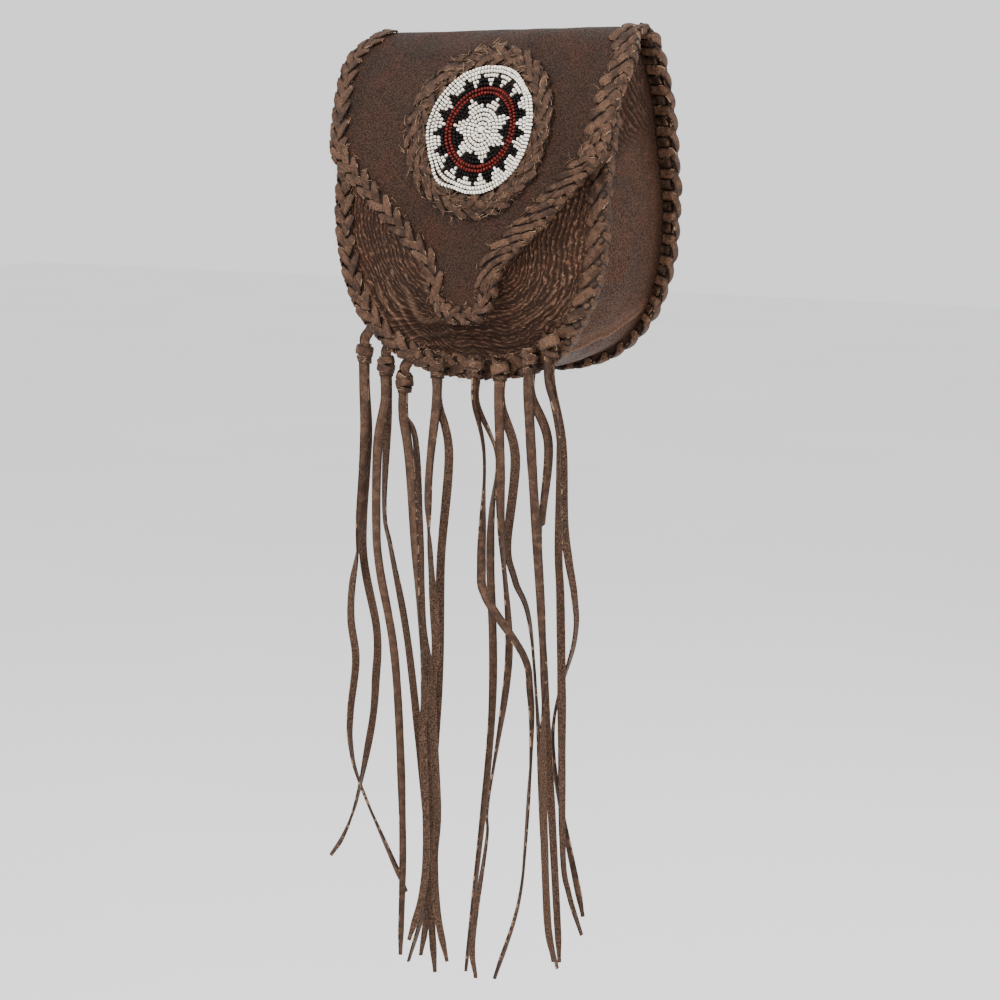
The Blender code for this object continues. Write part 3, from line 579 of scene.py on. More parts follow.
class Paint:
    """A material's node tree, with short calls for the nodes that are used here."""

    def __init__(self, name):
        self.material = bpy.data.materials.new(name)
        self.material.use_nodes = True
        self.tree = self.material.node_tree

    def put(self, socket, value):
        if isinstance(value, bpy.types.NodeSocket):
            self.tree.links.new(value, socket)
        else:
            socket.default_value = value

    def node(self, kind, inputs=None, **settings):
        made = self.tree.nodes.new(kind)
        for key, value in settings.items():
            setattr(made, key, value)
        for key, value in (inputs or {}).items():
            self.put(made.inputs[key], value)
        return made

    def attribute(self, name, output="Fac"):
        return self.node("ShaderNodeAttribute", attribute_name=name).outputs[output]

    def vector_math(self, operation, a, b):
        return self.node("ShaderNodeVectorMath", {0: a, 1: b}, operation=operation).outputs["Vector"]

    def noise(self, vector, scale, detail=3.0, roughness=0.55, distortion=0.0, output="Fac"):
        return self.node("ShaderNodeTexNoise", {
            "Vector": vector, "Scale": scale, "Detail": detail, "Roughness": roughness,
            "Distortion": distortion}).outputs[output]

    def cells(self, vector, scale):
        return self.node("ShaderNodeTexVoronoi", {"Vector": vector, "Scale": scale}).outputs["Distance"]

    def math(self, operation, a, b=0.0):
        return self.node("ShaderNodeMath", {0: a, 1: b}, operation=operation).outputs[0]

    def times(self, a, b):
        return self.math("MULTIPLY", a, b)

    def plus(self, a, b):
        return self.math("ADD", a, b)

    def span(self, value, low, high, to_low=0.0, to_high=1.0):
        return self.node("ShaderNodeMapRange", {
            "Value": value, "From Min": low, "From Max": high, "To Min": to_low, "To Max": to_high,
        }).outputs["Result"]

    def blend(self, share, a, b):
        return self.node("ShaderNodeMix", {0: share, 6: a, 7: b}, data_type="RGBA").outputs[2]

    def coats(self, colour, *coats):
        """Lay colours over the first one, each given as (value, low, high, amount, colour). It
        covers by that amount where the value is at high, and not at all where it is at low."""
        for value, low, high, amount, coat in coats:
            colour = self.blend(self.times(self.span(value, low, high), amount), colour, coat)
        return colour

    def bump(self, height, distance, strength):
        return self.node("ShaderNodeBump", {
            "Height": height, "Distance": distance, "Strength": strength}).outputs["Normal"]

    def finish(self, **values):
        """Put each value on the shader's input of that name, which has spaces between its words."""
        shader = self.tree.nodes["Principled BSDF"]
        for key, value in values.items():
            self.put(shader.inputs[key.replace("_", " ")], value)
        return self.material


def rgb(red, green, blue):
    """A colour from its sRGB values of 0 to 255."""
    channels = []
    for value in (red, green, blue):
        share = value / 255.0
        channels.append(share / 12.92 if share <= 0.04045 else ((share + 0.055) / 1.055) ** 2.4)
    return (*channels, 1.0)


def dimmed(colour, share):
    return (*(channel * share for channel in colour[:3]), 1.0)


def leather_paint(name, dark, middle, red, worn_and_highlight, stretch, pebble, depth, contrast, ridged=False):
    """Grained leather: pebbles in the size and stretch given, cloudy colour, lighter high places that are
    partly rubbed wear and partly painted highlight, and painted shade in the creases. A tone above 0.5
    paints highlight and below 0.5 paints shade. Ridged leather also has broken ridges along the lines of
    the mesh's phase, as strong as its rim, with painted highlight on their crests and shade in their grooves."""
    paint = Paint(name)
    grain = paint.attribute("grain", "Vector")
    tone = paint.attribute("tone")
    warp = paint.noise(grain, 160.0, 2.0, 0.5, output="Color")
    shifted = paint.vector_math("MULTIPLY", warp, (0.0022, 0.0022, 0.0022))
    bent = paint.vector_math("ADD", grain, shifted)
    flowing = paint.vector_math("MULTIPLY", bent, stretch)
    coarse = paint.cells(flowing, pebble)
    fine = paint.cells(flowing, pebble * 2.3)
    cloud = paint.noise(grain, 22.0, 4.0, 0.6, 0.6)
    blotch = paint.noise(grain, 60.0, 3.0, 0.6, 0.3)
    speck = paint.noise(flowing, pebble * 4.0, 2.0, 0.7)
    crease = paint.span(coarse, 0.28, 0.85)
    if ridged:
        long_way = paint.noise(paint.vector_math("MULTIPLY", bent, (0.7, 1.0, 1.0)), 300.0)
        short_way = paint.noise(paint.vector_math("MULTIPLY", bent, (0.8, 1.0, 1.0)), 600.0)
        swerve = paint.span(long_way, 0.34, 0.66, -0.34, 0.34)
        broken = paint.span(short_way, 0.36, 0.64, -1.1, 1.1)
        turns = paint.times(paint.plus(paint.attribute("phase"), swerve), 2.0 * math.pi)
        crest = paint.plus(paint.math("COSINE", turns), broken)
        groove = paint.span(paint.plus(crest, paint.times(coarse, -1.2)), 1.1, -1.5)
        strength = paint.attribute("rim")
        plain = paint.times(crease, paint.math("SUBTRACT", 1.0, strength))
        crease = paint.plus(paint.times(groove, strength), plain)
    height = paint.math("SUBTRACT", 1.0, crease)
    # deep is painted shade in the creases and where the tone is below 0.5; the lighter colour is painted
    # highlight on the high places and where the tone is above 0.5.
    deep = dimmed(dark, 0.40)
    high = paint.times(paint.span(height, 0.45, 1.0), paint.span(speck, 0.38, 0.70))
    colour = paint.coats(
        dark, (cloud, 0.38, 0.64, 1.0, middle), (blotch, 0.46, 0.70, 0.75, red),
        (high, 0.0, 1.0, contrast, worn_and_highlight), (crease, 0.0, 1.0, contrast * 0.8, deep),
        (tone, 0.5, 1.0, 0.8, worn_and_highlight), (tone, 0.5, 0.0, 0.9, deep))
    rough = paint.span(paint.plus(crease, blotch), 0.2, 1.6, 0.46, 0.78)
    relief = paint.plus(paint.plus(height, paint.times(fine, -0.35)), paint.times(speck, 0.25))
    return paint.finish(Base_Color=colour, Roughness=rough, Normal=paint.bump(relief, depth, 0.9),
                        Specular_IOR_Level=0.20, Specular_Tint=(1.0, 0.82, 0.70, 1.0))


def lace_paint(name, dark, middle, light, pale):
    """Cut lace: a grained face with long streaks, pale fuzzy edges and a darker underside. The
    tone is below 0 for what lies in the shade under a plait. The rim is near 1 at a cut edge,
    2 and more on a suede underside and below 0 on a torn fibre."""
    paint = Paint(name)
    grain = paint.attribute("grain", "Vector")
    tone = paint.attribute("tone")
    rim = paint.attribute("rim")
    streak = paint.noise(paint.vector_math("MULTIPLY", grain, (0.35, 2.2, 1.0)), 700.0, 3.0, 0.6)
    patch = paint.noise(grain, 230.0, 3.0, 0.65)
    speck = paint.noise(grain, 1700.0, 2.0, 0.7)
    pores = paint.cells(grain, 1500.0)
    flecks = paint.blend(paint.span(speck, 0.44, 0.62), rgb(24, 15, 11), rgb(96, 70, 54))
    edge = paint.times(paint.span(rim, 0.70, 0.90), paint.span(patch, 0.55, 0.60))
    colour = paint.coats(
        dark, (tone, 0.0, 1.0, 1.0, middle), (patch, 0.44, 0.66, 0.85, light),
        (streak, 0.52, 0.74, 0.5, light), (tone, 1.0, 2.2, 1.0, light), (pores, 0.35, 0.80, 0.75, dark),
        (patch, 0.46, 0.34, 0.6, dark), (rim, 0.25, 0.80, 0.80, dimmed(dark, 0.45)),
        (edge, 0.0, 1.0, 0.75, pale), (rim, 1.3, 2.0, 1.0, flecks),
        (tone, -0.2, -0.9, 1.0, rgb(20, 12, 9)), (rim, -0.2, -0.8, 1.0, pale))
    rough = paint.span(patch, 0.3, 0.7, 0.48, 0.76)
    relief = paint.math("SUBTRACT", paint.plus(streak, paint.times(patch, 2.0)), paint.times(pores, 0.6))
    return paint.finish(Base_Color=colour, Roughness=rough, Normal=paint.bump(relief, 0.00030, 0.9),
                        Specular_IOR_Level=0.22, Specular_Tint=(1.0, 0.84, 0.74, 1.0))


def bead_paint(name, colour, shade, roughness, gloss=0.22):
    """Opaque glass: each bead a little different, with painted shade in the hole and between beads."""
    paint = Paint(name)
    spot = paint.noise(paint.attribute("grain", "Vector"), 900.0, 2.0, 0.5)
    mixed = paint.coats(
        shade, (paint.attribute("tone"), 0.0, 1.0, 1.0, colour), (spot, 0.55, 0.8, 0.3, shade),
        (paint.attribute("rim"), 0.45, 1.0, 1.0, dimmed(shade, 0.25)))
    rough = paint.span(spot, 0.3, 0.7, roughness, roughness + 0.15)
    return paint.finish(Base_Color=mixed, Roughness=rough, Normal=paint.bump(spot, 0.00004, 0.5),
                        Specular_IOR_Level=gloss)


leather = leather_paint("leather", rgb(27, 16, 11), rgb(45, 28, 19), rgb(57, 29, 20), rgb(76, 52, 40),
                        (1.0, 1.0, 1.0), 1080.0, 0.00036, 0.76)
gusset_leather = leather_paint("gusset_leather", rgb(41, 25, 18), rgb(59, 38, 28), rgb(65, 35, 25),
                               rgb(112, 82, 64), (0.75, 1.0, 1.0), 1300.0, 0.00046, 0.66, True)
front_leather = leather_paint("front_leather", rgb(47, 29, 20), rgb(67, 43, 32), rgb(74, 42, 31),
                              rgb(142, 107, 85), (0.5, 1.0, 1.0), 1000.0, 0.00110, 0.95, True)
lace = lace_paint("lace", rgb(37, 23, 16), rgb(64, 43, 31), rgb(98, 71, 54), rgb(158, 128, 102))
thong_leather = lace_paint("thong", rgb(44, 29, 22), rgb(68, 47, 35), rgb(96, 71, 55), rgb(140, 112, 90))
white_glass = bead_paint("white_glass", rgb(250, 246, 238), rgb(224, 212, 195), 0.22)
black_glass = bead_paint("black_glass", rgb(4, 4, 5), rgb(8, 8, 9), 0.24, 0.10)
red_glass = bead_paint("red_glass", rgb(102, 20, 15), rgb(62, 10, 8), 0.22, 0.18)


def ride_on(piece, body, slot, *nodes):
    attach(piece, body)
    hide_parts(*nodes)


def across_fold(piece, slot, *nodes):
    """A piece that lies on both sides of the fold and is shaped round it. The nodes it stands for are hidden,
    and its transform is baked into its mesh.
    """
    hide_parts(*nodes)
    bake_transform(piece)


# Fringe


def knot_bottom(name):
    """Middle of a knot's flat underside as a world place."""
    x, height, kind, _ = KNOTS[name]
    forward = BODY_DEPTH - LEATHER
    if kind == "front":
        lace_face = BODY_DEPTH + BAND_GAP + BAND_THICKNESS + BAND_RELIEF
        forward = lace_face + GAP + KNOT_RADIUS * KNOT_DEPTH_SHARE
    return world(x * MM, forward, height * MM - KNOT_HEIGHT / 2.0)


def turn_at(keys, share):
    for (s0, a0), (s1, a1) in zip(keys, keys[1:]):
        if share <= s1:
            return mix(a0, a1, smooth((share - s0) / (s1 - s0)))
    return keys[-1][1]


def make_thong(name):
    chance = random.Random(name)
    route, turns = THONGS[name]
    front = 1 if name.endswith("a") else -1
    top = knot_bottom("knot_" + name[-2]) + Vector((0.0, -front * THONG_SPACING / 2.0, -GAP))
    points = [top + Vector((0.0, 0.0, 0.0008)), top + Vector((0.0, 0.0, -THONG_STEP))]
    points += [world(x * MM, forward * MM, height * MM) for x, forward, height in route]
    path = curve_through(points, THONG_MESH_STEP)
    camera_side = math.radians(25.0)
    ups = []
    widths = []
    wobble = chance.uniform(0.0, 50.0)
    for index in range(len(path)):
        share = index / (len(path) - 1)
        angle = math.radians(turn_at(turns, share)) + camera_side
        ups.append(Vector((math.sin(angle), -math.cos(angle), 0.0)))
        width = THONG_WIDTH * (1.0 + 0.10 * wave(share, wobble, 0.08, 2.0))
        widths.append(width * mix(1.10, 0.80, share) * (1.0 - 0.45 * smooth((share - 0.955) / 0.045)))
    shape = Shape()
    shape.strip(path, ups, widths, THONG_THICKNESS, chance.uniform(0.0, 1.0), chance.uniform(0.0, 9.0),
                section=THONG_SECTION, suede=True)
    piece = shape.piece("fringe_" + name, thong_leather)
    ride_on(piece, "bag", "thong", name)
    length = running_lengths(path, distance_3d)[-1]


# Leather


def thick_sheet(name, material, rows, columns, place, looks):
    """Leather over rows of (half width, y). place gives a vertex by x, y and 0 for the outer or 1
    for the inner skin, and looks gives its grain and what else its material reads."""
    shape = Shape()
    skins = []
    for inner in (0, 1):
        skin = []
        for half, y in rows:
            xs = [half * (2.0 * column / columns - 1.0) for column in range(columns + 1)]
            skin.append([shape.vertex(place(x, y, inner), *looks(x, y)) for x in xs])
        skins.append(skin)
    shape.plate(skins)
    return shape.sheet(name, material)


def make_sheet():
    """Back and flap: one sheet that is folded over the top."""
    flap = [row for row in resample(flap_half_outline(), 120) if row[0] > 0.004][1:]
    last = flap[-1][1]
    flap = [row for row in flap if row[1] < last - 1e-6] + [flap[-1]]
    piece = thick_sheet("folded_leather", leather, pocket_rows(FOLD_RUN, 80, 64) + flap, 96,
                        lambda x, y, inner: sheet_point(x, y, -LEATHER * inner),
                        lambda x, y: ((x, y, 0.0),))
    across_fold(piece, "leather", "back_panel", "flap")


def bottom_fold(x, height, inset):
    """Creases that follow the bottom seam, deeper to the left, where they also curl."""
    curl = 0.004 * wave(x, height, 0.020, 5.0) + 0.008 * bump_at(math.hypot(x + 0.031, height - 0.022), 0.022)
    share = (inset + curl) / 0.0074
    strength = mix(0.0005, 0.0010, smooth((0.010 - x) / 0.050))
    return strength * math.sin(2.0 * math.pi * share) * smooth((0.052 - height) / 0.022)


def ridge_lines(x, height):
    """Where a place lies across and along the ridges of the front, which run down its sides and
    round its lower part."""
    if height >= RIDGE_MIDDLE:
        return abs(x), height
    across = (abs(x) ** 3.0 + (RIDGE_MIDDLE - height) ** 3.0) ** (1.0 / 3.0)
    return across, RIDGE_MIDDLE - across * math.atan2(RIDGE_MIDDLE - height, abs(x))


def make_front_panel():
    dense = np.array(resample(pocket_outline(FRONT_TOP), 700))

    @lru_cache(maxsize=None)
    def known(x, height):
        """How far the panel stands out, with its bulge, folds, wrinkles and ridges, and its looks."""
        inset = float(np.hypot(dense[:, 0] - x, dense[:, 1] - height).min())
        across, along = ridge_lines(x, height)
        bend = 0.0050 * wave(x, height, 0.030, 11.0) + 0.0014 * wave(x, height, 0.0085, 13.0)
        bend += 0.013 * bump_at(math.hypot(x + 0.031, height - 0.018), 0.024) - 0.15 * (height - 0.07)
        phase = (across + bend) / RIDGE_PITCH
        inner = smooth((inset - 0.008) / 0.006) * mix(0.15, 1.0, smooth((across - 0.018) / 0.026))
        broken = 0.62 + 0.55 * noise.noise(Vector((along / 0.0040, across / 0.0030, 3.0)))
        pebbles = wave(x, height, 0.0026, 6.0)
        fine = (0.00030 * math.cos(2.0 * math.pi * phase) * broken + 0.00012 * pebbles) * inner
        fold = bottom_fold(x, height, inset)
        bulge = FRONT_BULGE * smooth((inset - 0.010) / 0.040)
        swells = 0.0008 * wave(x, height, 0.030, 2.0) + 0.0004 * wave(x * 1.6, height, 0.011, 8.0)
        relief = bulge + (swells + fold) * smooth((inset - 0.008) / 0.010)
        # The tone paints highlight on the crests of the ridges and bottom folds and shade in their grooves,
        # and painted shade along the bottom, where the bulge turns down.
        tone = 0.50 + 260.0 * fine + 220.0 * fold - 0.14 * smooth((0.040 - height) / 0.02)
        return relief + fine, ((along, across + bend, 0.0), tone, inner, phase)

    piece = thick_sheet("front_leather_panel", front_leather, pocket_rows(FRONT_TOP, 116, 44), 222,
                        lambda x, y, inner: front_point(x, y, known(x, y)[0] - LEATHER * inner),
                        lambda x, y: known(x, y)[1])
    ride_on(piece, "bag", "front_leather", "front_panel")


def gusset_relief(s, x, y, rise, t, u):
    """How far the gusset stands out and up, and its looks. t runs across it from the back to the
    front and u across its free part. Its upper part has slanting pleats, and one fold crosses it
    at each lower corner."""
    swell = math.sin(math.pi * u)
    free = min(1.0, swell * 3.0)
    corner = smooth((rise - 0.40) / 0.25)
    depth = 0.060 * t
    slope = s if x > 0.0 else -s
    phase = (slope + depth * 1.15) / PLEAT_PITCH + 0.55 * wave(slope, depth, 0.010, 4.0)
    sharp = 1.0 - 2.0 * abs(math.sin(math.pi * phase))
    pleats = 0.0009 * corner * sharp * (0.85 + 0.4 * wave(slope, depth, 0.012, 7.0))
    lines = wave(s * 0.6, depth, 0.0028, 15.0) * smooth((y - 0.060) / 0.050)
    wrinkle = 0.0010 * wave(s, depth * 2.0, 0.020, 4.0) + 0.0003 * wave(s, depth, 0.006, 9.0)
    wrinkle += 0.0002 * lines
    fold = 0.0
    # The back flange, seen between the ladder's rungs, gets painted shade.
    tone = 0.30 if t < BACK_SHARE else 0.5
    # At each lower corner, a thin painted highlight along the fold's crest and a soft painted sheen beside
    # it.
    if 0.003 < y < 0.045:
        past = t - mix(0.97, 0.10, (y - 0.007) / 0.026)
        fade = smooth((0.045 - y) / 0.014)
        fold = math.exp(-(past / 0.045) ** 2) * fade
        tone += (0.36 * math.exp(-(past / 0.022) ** 2) + 0.14 * math.exp(-((past - 0.12) / 0.12) ** 2)) * fade
    # Painted highlight and shade on the pleats' crests and hollows and on the raised lines, and a little
    # darker in the pleated corner.
    tone += (420.0 * pleats + 0.12 * lines - 0.06 * corner) * free
    out = GUSSET_BULGE * swell + (wrinkle + pleats + 0.0014 * fold) * free
    up = 0.017 * swell ** 0.7 * smooth((rise - 0.55) / 0.45)
    return out, up, ((s, depth, 0.0), tone, 0.95 * corner * free, phase)


def make_gusset():
    """The strip round the sides and the bottom, with a flange under the back and the front."""
    lower = [p for p in pocket_half_outline(FRONT_TOP) if p[1] <= WIDEST_HEIGHT]
    span = GUSSET_BACK_RUN - WIDEST_HEIGHT
    half = lower + [(lower[-1][0], WIDEST_HEIGHT + span)]
    edge = Edge(both_sides(half[::-1]))
    places = [0.0]
    while places[-1] < edge.length:
        top = min(places[-1], edge.length - places[-1]) < 0.085
        places.append(places[-1] + (0.0006 if top else 0.0012))
    places[-1] = edge.length
    shape = Shape()
    skins = [[], []]
    for s in places:
        x, y, normal = edge.at(s)
        rise = max(0.0, y - WIDEST_HEIGHT) / span
        front_y = y if rise == 0.0 else WIDEST_HEIGHT + rise * (FRONT_TOP - GAP - WIDEST_HEIGHT)
        edge_x = x - math.copysign(TOP_TAPER * smooth(rise), x)
        flange = mix(0.0030, 0.0062, smooth((y - 0.012) / 0.050)) + 0.0030 * smooth((y - 0.070) / 0.060)
        outward = Vector((normal.x, 0.0, normal.y)).normalized()

        def under(surface, row, inset, deep):
            return surface(edge_x - inset * normal.x, row - inset * normal.y, -LEATHER - GAP - deep)

        for rows, skin in zip(skins, (0.0, GUSSET_LEATHER)):
            more = GUSSET_LEATHER - skin
            back = [under(sheet_point, y, inset, deep) for inset, deep in (
                (0.0, skin), (flange - 0.002, skin), (flange + more, skin + 0.0004),
                (flange + more, skin + 0.004))]
            front = [under(front_point, front_y, inset, deep) for inset, deep in (
                (FRONT_FLANGE + more, skin + 0.004), (FRONT_FLANGE + more, skin + 0.0004),
                (FRONT_FLANGE - 0.002, skin), (0.0, skin))]
            row = []
            for column in range(GUSSET_COLUMNS + 1):
                t = column / GUSSET_COLUMNS
                u = min(max((t - BACK_SHARE) / FREE_SHARE, 0.0), 1.0)
                if t < BACK_SHARE:
                    place = along_points(back, t / BACK_SHARE)
                elif t > 1.0 - FRONT_SHARE:
                    place = along_points(front, (t - (1.0 - FRONT_SHARE)) / FRONT_SHARE)
                else:
                    place = back[-1].lerp(front[0], u)
                out, up, looks = gusset_relief(s, x, y, rise, t, u)
                place = place + outward * out
                place.z += up
                row.append(shape.vertex(place, *looks))
            rows.append(row)
    shape.plate(skins)
    ride_on(shape.sheet("gusset_leather_strip", gusset_leather, 60.0), "bag", "leather", "gusset")


def make_belt_loops():
    ramp = BELT_WIDTH / 2.0 + LOOP_RAMP
    foot = ramp + LOOP_FOOT
    rows = [(1.0, mix(-foot, foot, step / 80)) for step in range(81)]
    for name, side in (("belt_loop_left", -1.0), ("belt_loop_right", 1.0)):
        def across(u):
            return side * LOOP_X + LOOP_WIDTH / 2.0 * u

        def place(u, offset, inner):
            low = mix(GAP, BELT_CLEARANCE, smooth((ramp - abs(offset)) / LOOP_RAMP))
            soft = 0.0003 * smooth((abs(u) - 0.86) / 0.14) * (-0.3 if inner else 1.0)
            out = low if inner else low + LOOP_LEATHER
            return sheet_point(across(u), BELT_HEIGHT + offset, out - soft)

        piece = thick_sheet(name + "_strap", leather, rows, 24, place,
                            lambda u, offset: ((across(u), offset, 0.3),))
        ride_on(piece, "bag", "leather", name)


# Lacing


def around_edge(a, lift, stack):
    """A lace's place across an edge: (n, out, up along n, up along out) at the distance a from
    the edge, which counts on round it and back along the rear when a is positive."""
    corner = math.pi / 2.0 * lift
    if a <= 0.0:
        return a, lift, 0.0, 1.0
    if a <= corner:
        angle = a / lift
        return lift * math.sin(angle), lift * math.cos(angle), math.sin(angle), math.cos(angle)
    a -= corner
    if a <= stack:
        return lift, -a, 1.0, 0.0
    a -= stack
    if a <= corner:
        angle = a / lift
        return lift * math.cos(angle), -stack - lift * math.sin(angle), math.cos(angle), -math.sin(angle)
    return corner - a, -stack - lift, 0.0, -1.0


def steps_between(s0, s1):
    """Even steps of about 3 mm."""
    count = max(2, round((s1 - s0) / 0.003))
    return [mix(s0, s1, step / count) for step in range(count + 1)]


class Lacing:
    """Laces on an edge of the leather, each a little different by chance."""

    def __init__(self, edge, seed):
        self.edge = edge
        self.chance = random.Random(seed)
        self.shape = Shape()

    def lace(self, path, widths, thickness, tone, origin=0.0):
        """A lace along path, a list of (s, n, out, up along n, up along out)."""
        centres = []
        ups = []
        nudge = 0.0002
        for s, n, out, up_n, up_out in path:
            centre = self.edge.point(s, n, out)
            centres.append(centre)
            above = self.edge.point(s, n + nudge * up_n, out + nudge * up_out)
            ups.append((above - centre).normalized())
        self.shape.strip(centres, ups, widths, thickness, tone, origin)

    def leaf(self, start, end, width, thickness, low, high, tone=None, bend=0.0, steps=9, blunt=0.45):
        """One visible stretch of a lace, from under its neighbours, over them and under again.
        start and end are (s, a), with a as in around_edge, and low and high are its lift."""
        chance = self.chance
        path = []
        widths = []
        tilt = chance.gauss(0.0, 0.10)
        for step in range(steps + 1):
            share = step / steps
            hill = math.sin(math.pi * share)
            s = mix(start[0], end[0], share) + bend * hill
            lift = max(mix(low, high, hill ** 0.8), 0.0003)
            a = mix(start[1], end[1], share)
            n, out, up_n, up_out = around_edge(a, lift, self.edge.stack_at(s))
            path.append((s, n, out, up_n + tilt * up_out, up_out - tilt * up_n))
            widths.append(width * mix(blunt, 1.0, hill ** 0.7))
        if tone is None:
            tone = chance.choice((0.0, 0.4, 0.7, 1.0, 1.0, 1.6)) + chance.uniform(-0.1, 0.2)
        self.lace(path, widths, thickness, tone, chance.uniform(0.0, 9.0))

    def core(self, s0, s1, low, high, out):
        """A dark strip of painted shade under the plait, which shows in the gaps between its laces."""
        path = [(s, (low + high) / 2.0, out, 0.0, 1.0) for s in steps_between(s0, s1)]
        self.lace(path, high - low, 0.0007, -1.0)

    def rim_cord(self, inset, tone=-0.45):
        """The leather's dark cut rim and the lace under the loops, seen between them. A tone below 0 darkens
        it with painted shade.
        """
        path = []
        widths = []
        for s in steps_between(inset, self.edge.length - inset):
            stack = self.edge.stack_at(s)
            path.append((s, 0.0006, -stack / 2.0, 1.0, 0.0))
            widths.append(stack + 0.0012)
        self.lace(path, widths, 0.0012, tone)

    def herringbone(self, s0, s1, pitch, width, lace_width, turn, lift=PLAIT_LIFT, reach=1.0):
        """A plait of three laces: round lobes inside and slender ones on the rim."""
        chance = self.chance
        self.core(s0 + 0.004, s1 - 0.004, -width + 0.0014, -0.0006, 0.0004)
        middle = -0.46 * width
        s = s0
        while s < s1 - 0.4 * pitch:
            size = chance.uniform(0.92, 1.08)
            self.leaf((s - turn * 0.50 * reach * pitch, -width + chance.gauss(0.0, 0.0003)),
                      (s + turn * 0.52 * reach * pitch, middle + 0.0016), lace_width * size,
                      LACE_THICKNESS, 0.0004, lift, bend=chance.gauss(0.0, 0.0003), blunt=0.5)
            s += pitch / 2.0
            self.leaf((s + turn * 0.62 * reach * pitch, middle - 0.0014),
                      (s - turn * 0.62 * reach * pitch, 0.0010), lace_width * size * 0.92,
                      LACE_THICKNESS, 0.0005, lift, bend=chance.gauss(0.0, 0.0003))
            if chance.random() < 0.35:
                self.leaf((s, middle + chance.gauss(0.0, 0.0012)),
                          (s + turn * pitch * chance.uniform(0.5, 0.9), middle - 0.0024), 0.0010,
                          SHRED_THICKNESS, lift, lift + 0.0005, tone=1.0, blunt=0.3)
            s += pitch / 2.0 * chance.uniform(0.96, 1.04)

    def banded(self, s0, s1, pitch, width, slant):
        """A plait of more laces: lobes that follow each other in slanting bands."""
        chance = self.chance
        self.core(s0 + 0.010, s1, -width + 0.0014, -0.0006, 0.0004)
        step = (width + 0.0012) / PLAIT_COLUMNS
        lace_width = pitch * step / math.hypot(step, slant) * 0.97
        s = s0 - pitch
        while s < s1 + slant * PLAIT_COLUMNS:
            for column in range(PLAIT_COLUMNS):
                a0 = -width + column * step - 0.0006
                a1 = a0 + step + 0.0012
                middle = s - slant * column + chance.gauss(0.0, 0.0003)
                if s0 - 0.001 < middle < s1 + 0.001:
                    self.leaf((middle + slant * 0.62, a0 + chance.gauss(0.0, 0.0003)),
                              (middle - slant * 0.62, a1), lace_width * chance.uniform(0.88, 1.03), 0.0010,
                              0.0004, PLAIT_LIFT, bend=chance.gauss(0.0, 0.0003), steps=8, blunt=0.72)
                if chance.random() < 0.16:
                    self.leaf((middle + slant, a0), (middle - slant * 0.4, a0 + 0.0016), 0.0009,
                              SHRED_THICKNESS, PLAIT_LIFT, PLAIT_LIFT + 0.0006, tone=1.0, steps=6, blunt=0.3)
            s += pitch * chance.uniform(0.97, 1.03)

    def rim_wraps(self, pitch, width, rear, slant, first=0.0):
        """Short laces from the rim to their holes in the rear."""
        lift = 0.0010
        s = 0.001 + pitch * 0.3
        while s < self.edge.length - 0.001:
            last = self.edge.stack_at(s) + math.pi * lift + rear
            self.leaf((s - slant / 2.0, first), (s + slant / 2.0, last),
                      width * self.chance.uniform(0.92, 1.04), LACE_THICKNESS, lift, lift + 0.0003,
                      steps=12, blunt=0.75)
            s += pitch

    def fibre(self, start, ahead, s, n, out, length, root=FIBRE_RADIUS):
        up = (self.edge.point(s, n, out + 0.001) - self.edge.point(s, n, out)).normalized()
        self.shape.fibre(start, (ahead - start).normalized(), up, length, self.chance, root)

    def edge_fibres(self, count, low, high, out, between=None):
        """Torn fibres along the plait's two edges, low and high."""
        chance = self.chance
        s0, s1 = between or (0.0, self.edge.length)
        for _ in range(count):
            s = chance.uniform(s0, s1)
            n = low if chance.random() < 0.5 else high
            n += chance.gauss(0.0, 0.0011)
            start = self.edge.point(s, n, out + chance.uniform(-0.0003, 0.0005))
            turn = chance.uniform(0.2, 1.0) * chance.choice((-1.0, 1.0))
            ahead = self.edge.point(s + 0.0004 * chance.choice((-1.0, 1.0)), n + 0.0005 * turn, out + 0.0001)
            self.fibre(start, ahead, s, n, out, chance.uniform(0.0012, 0.0038), SLIGHT_FIBRE_RADIUS)


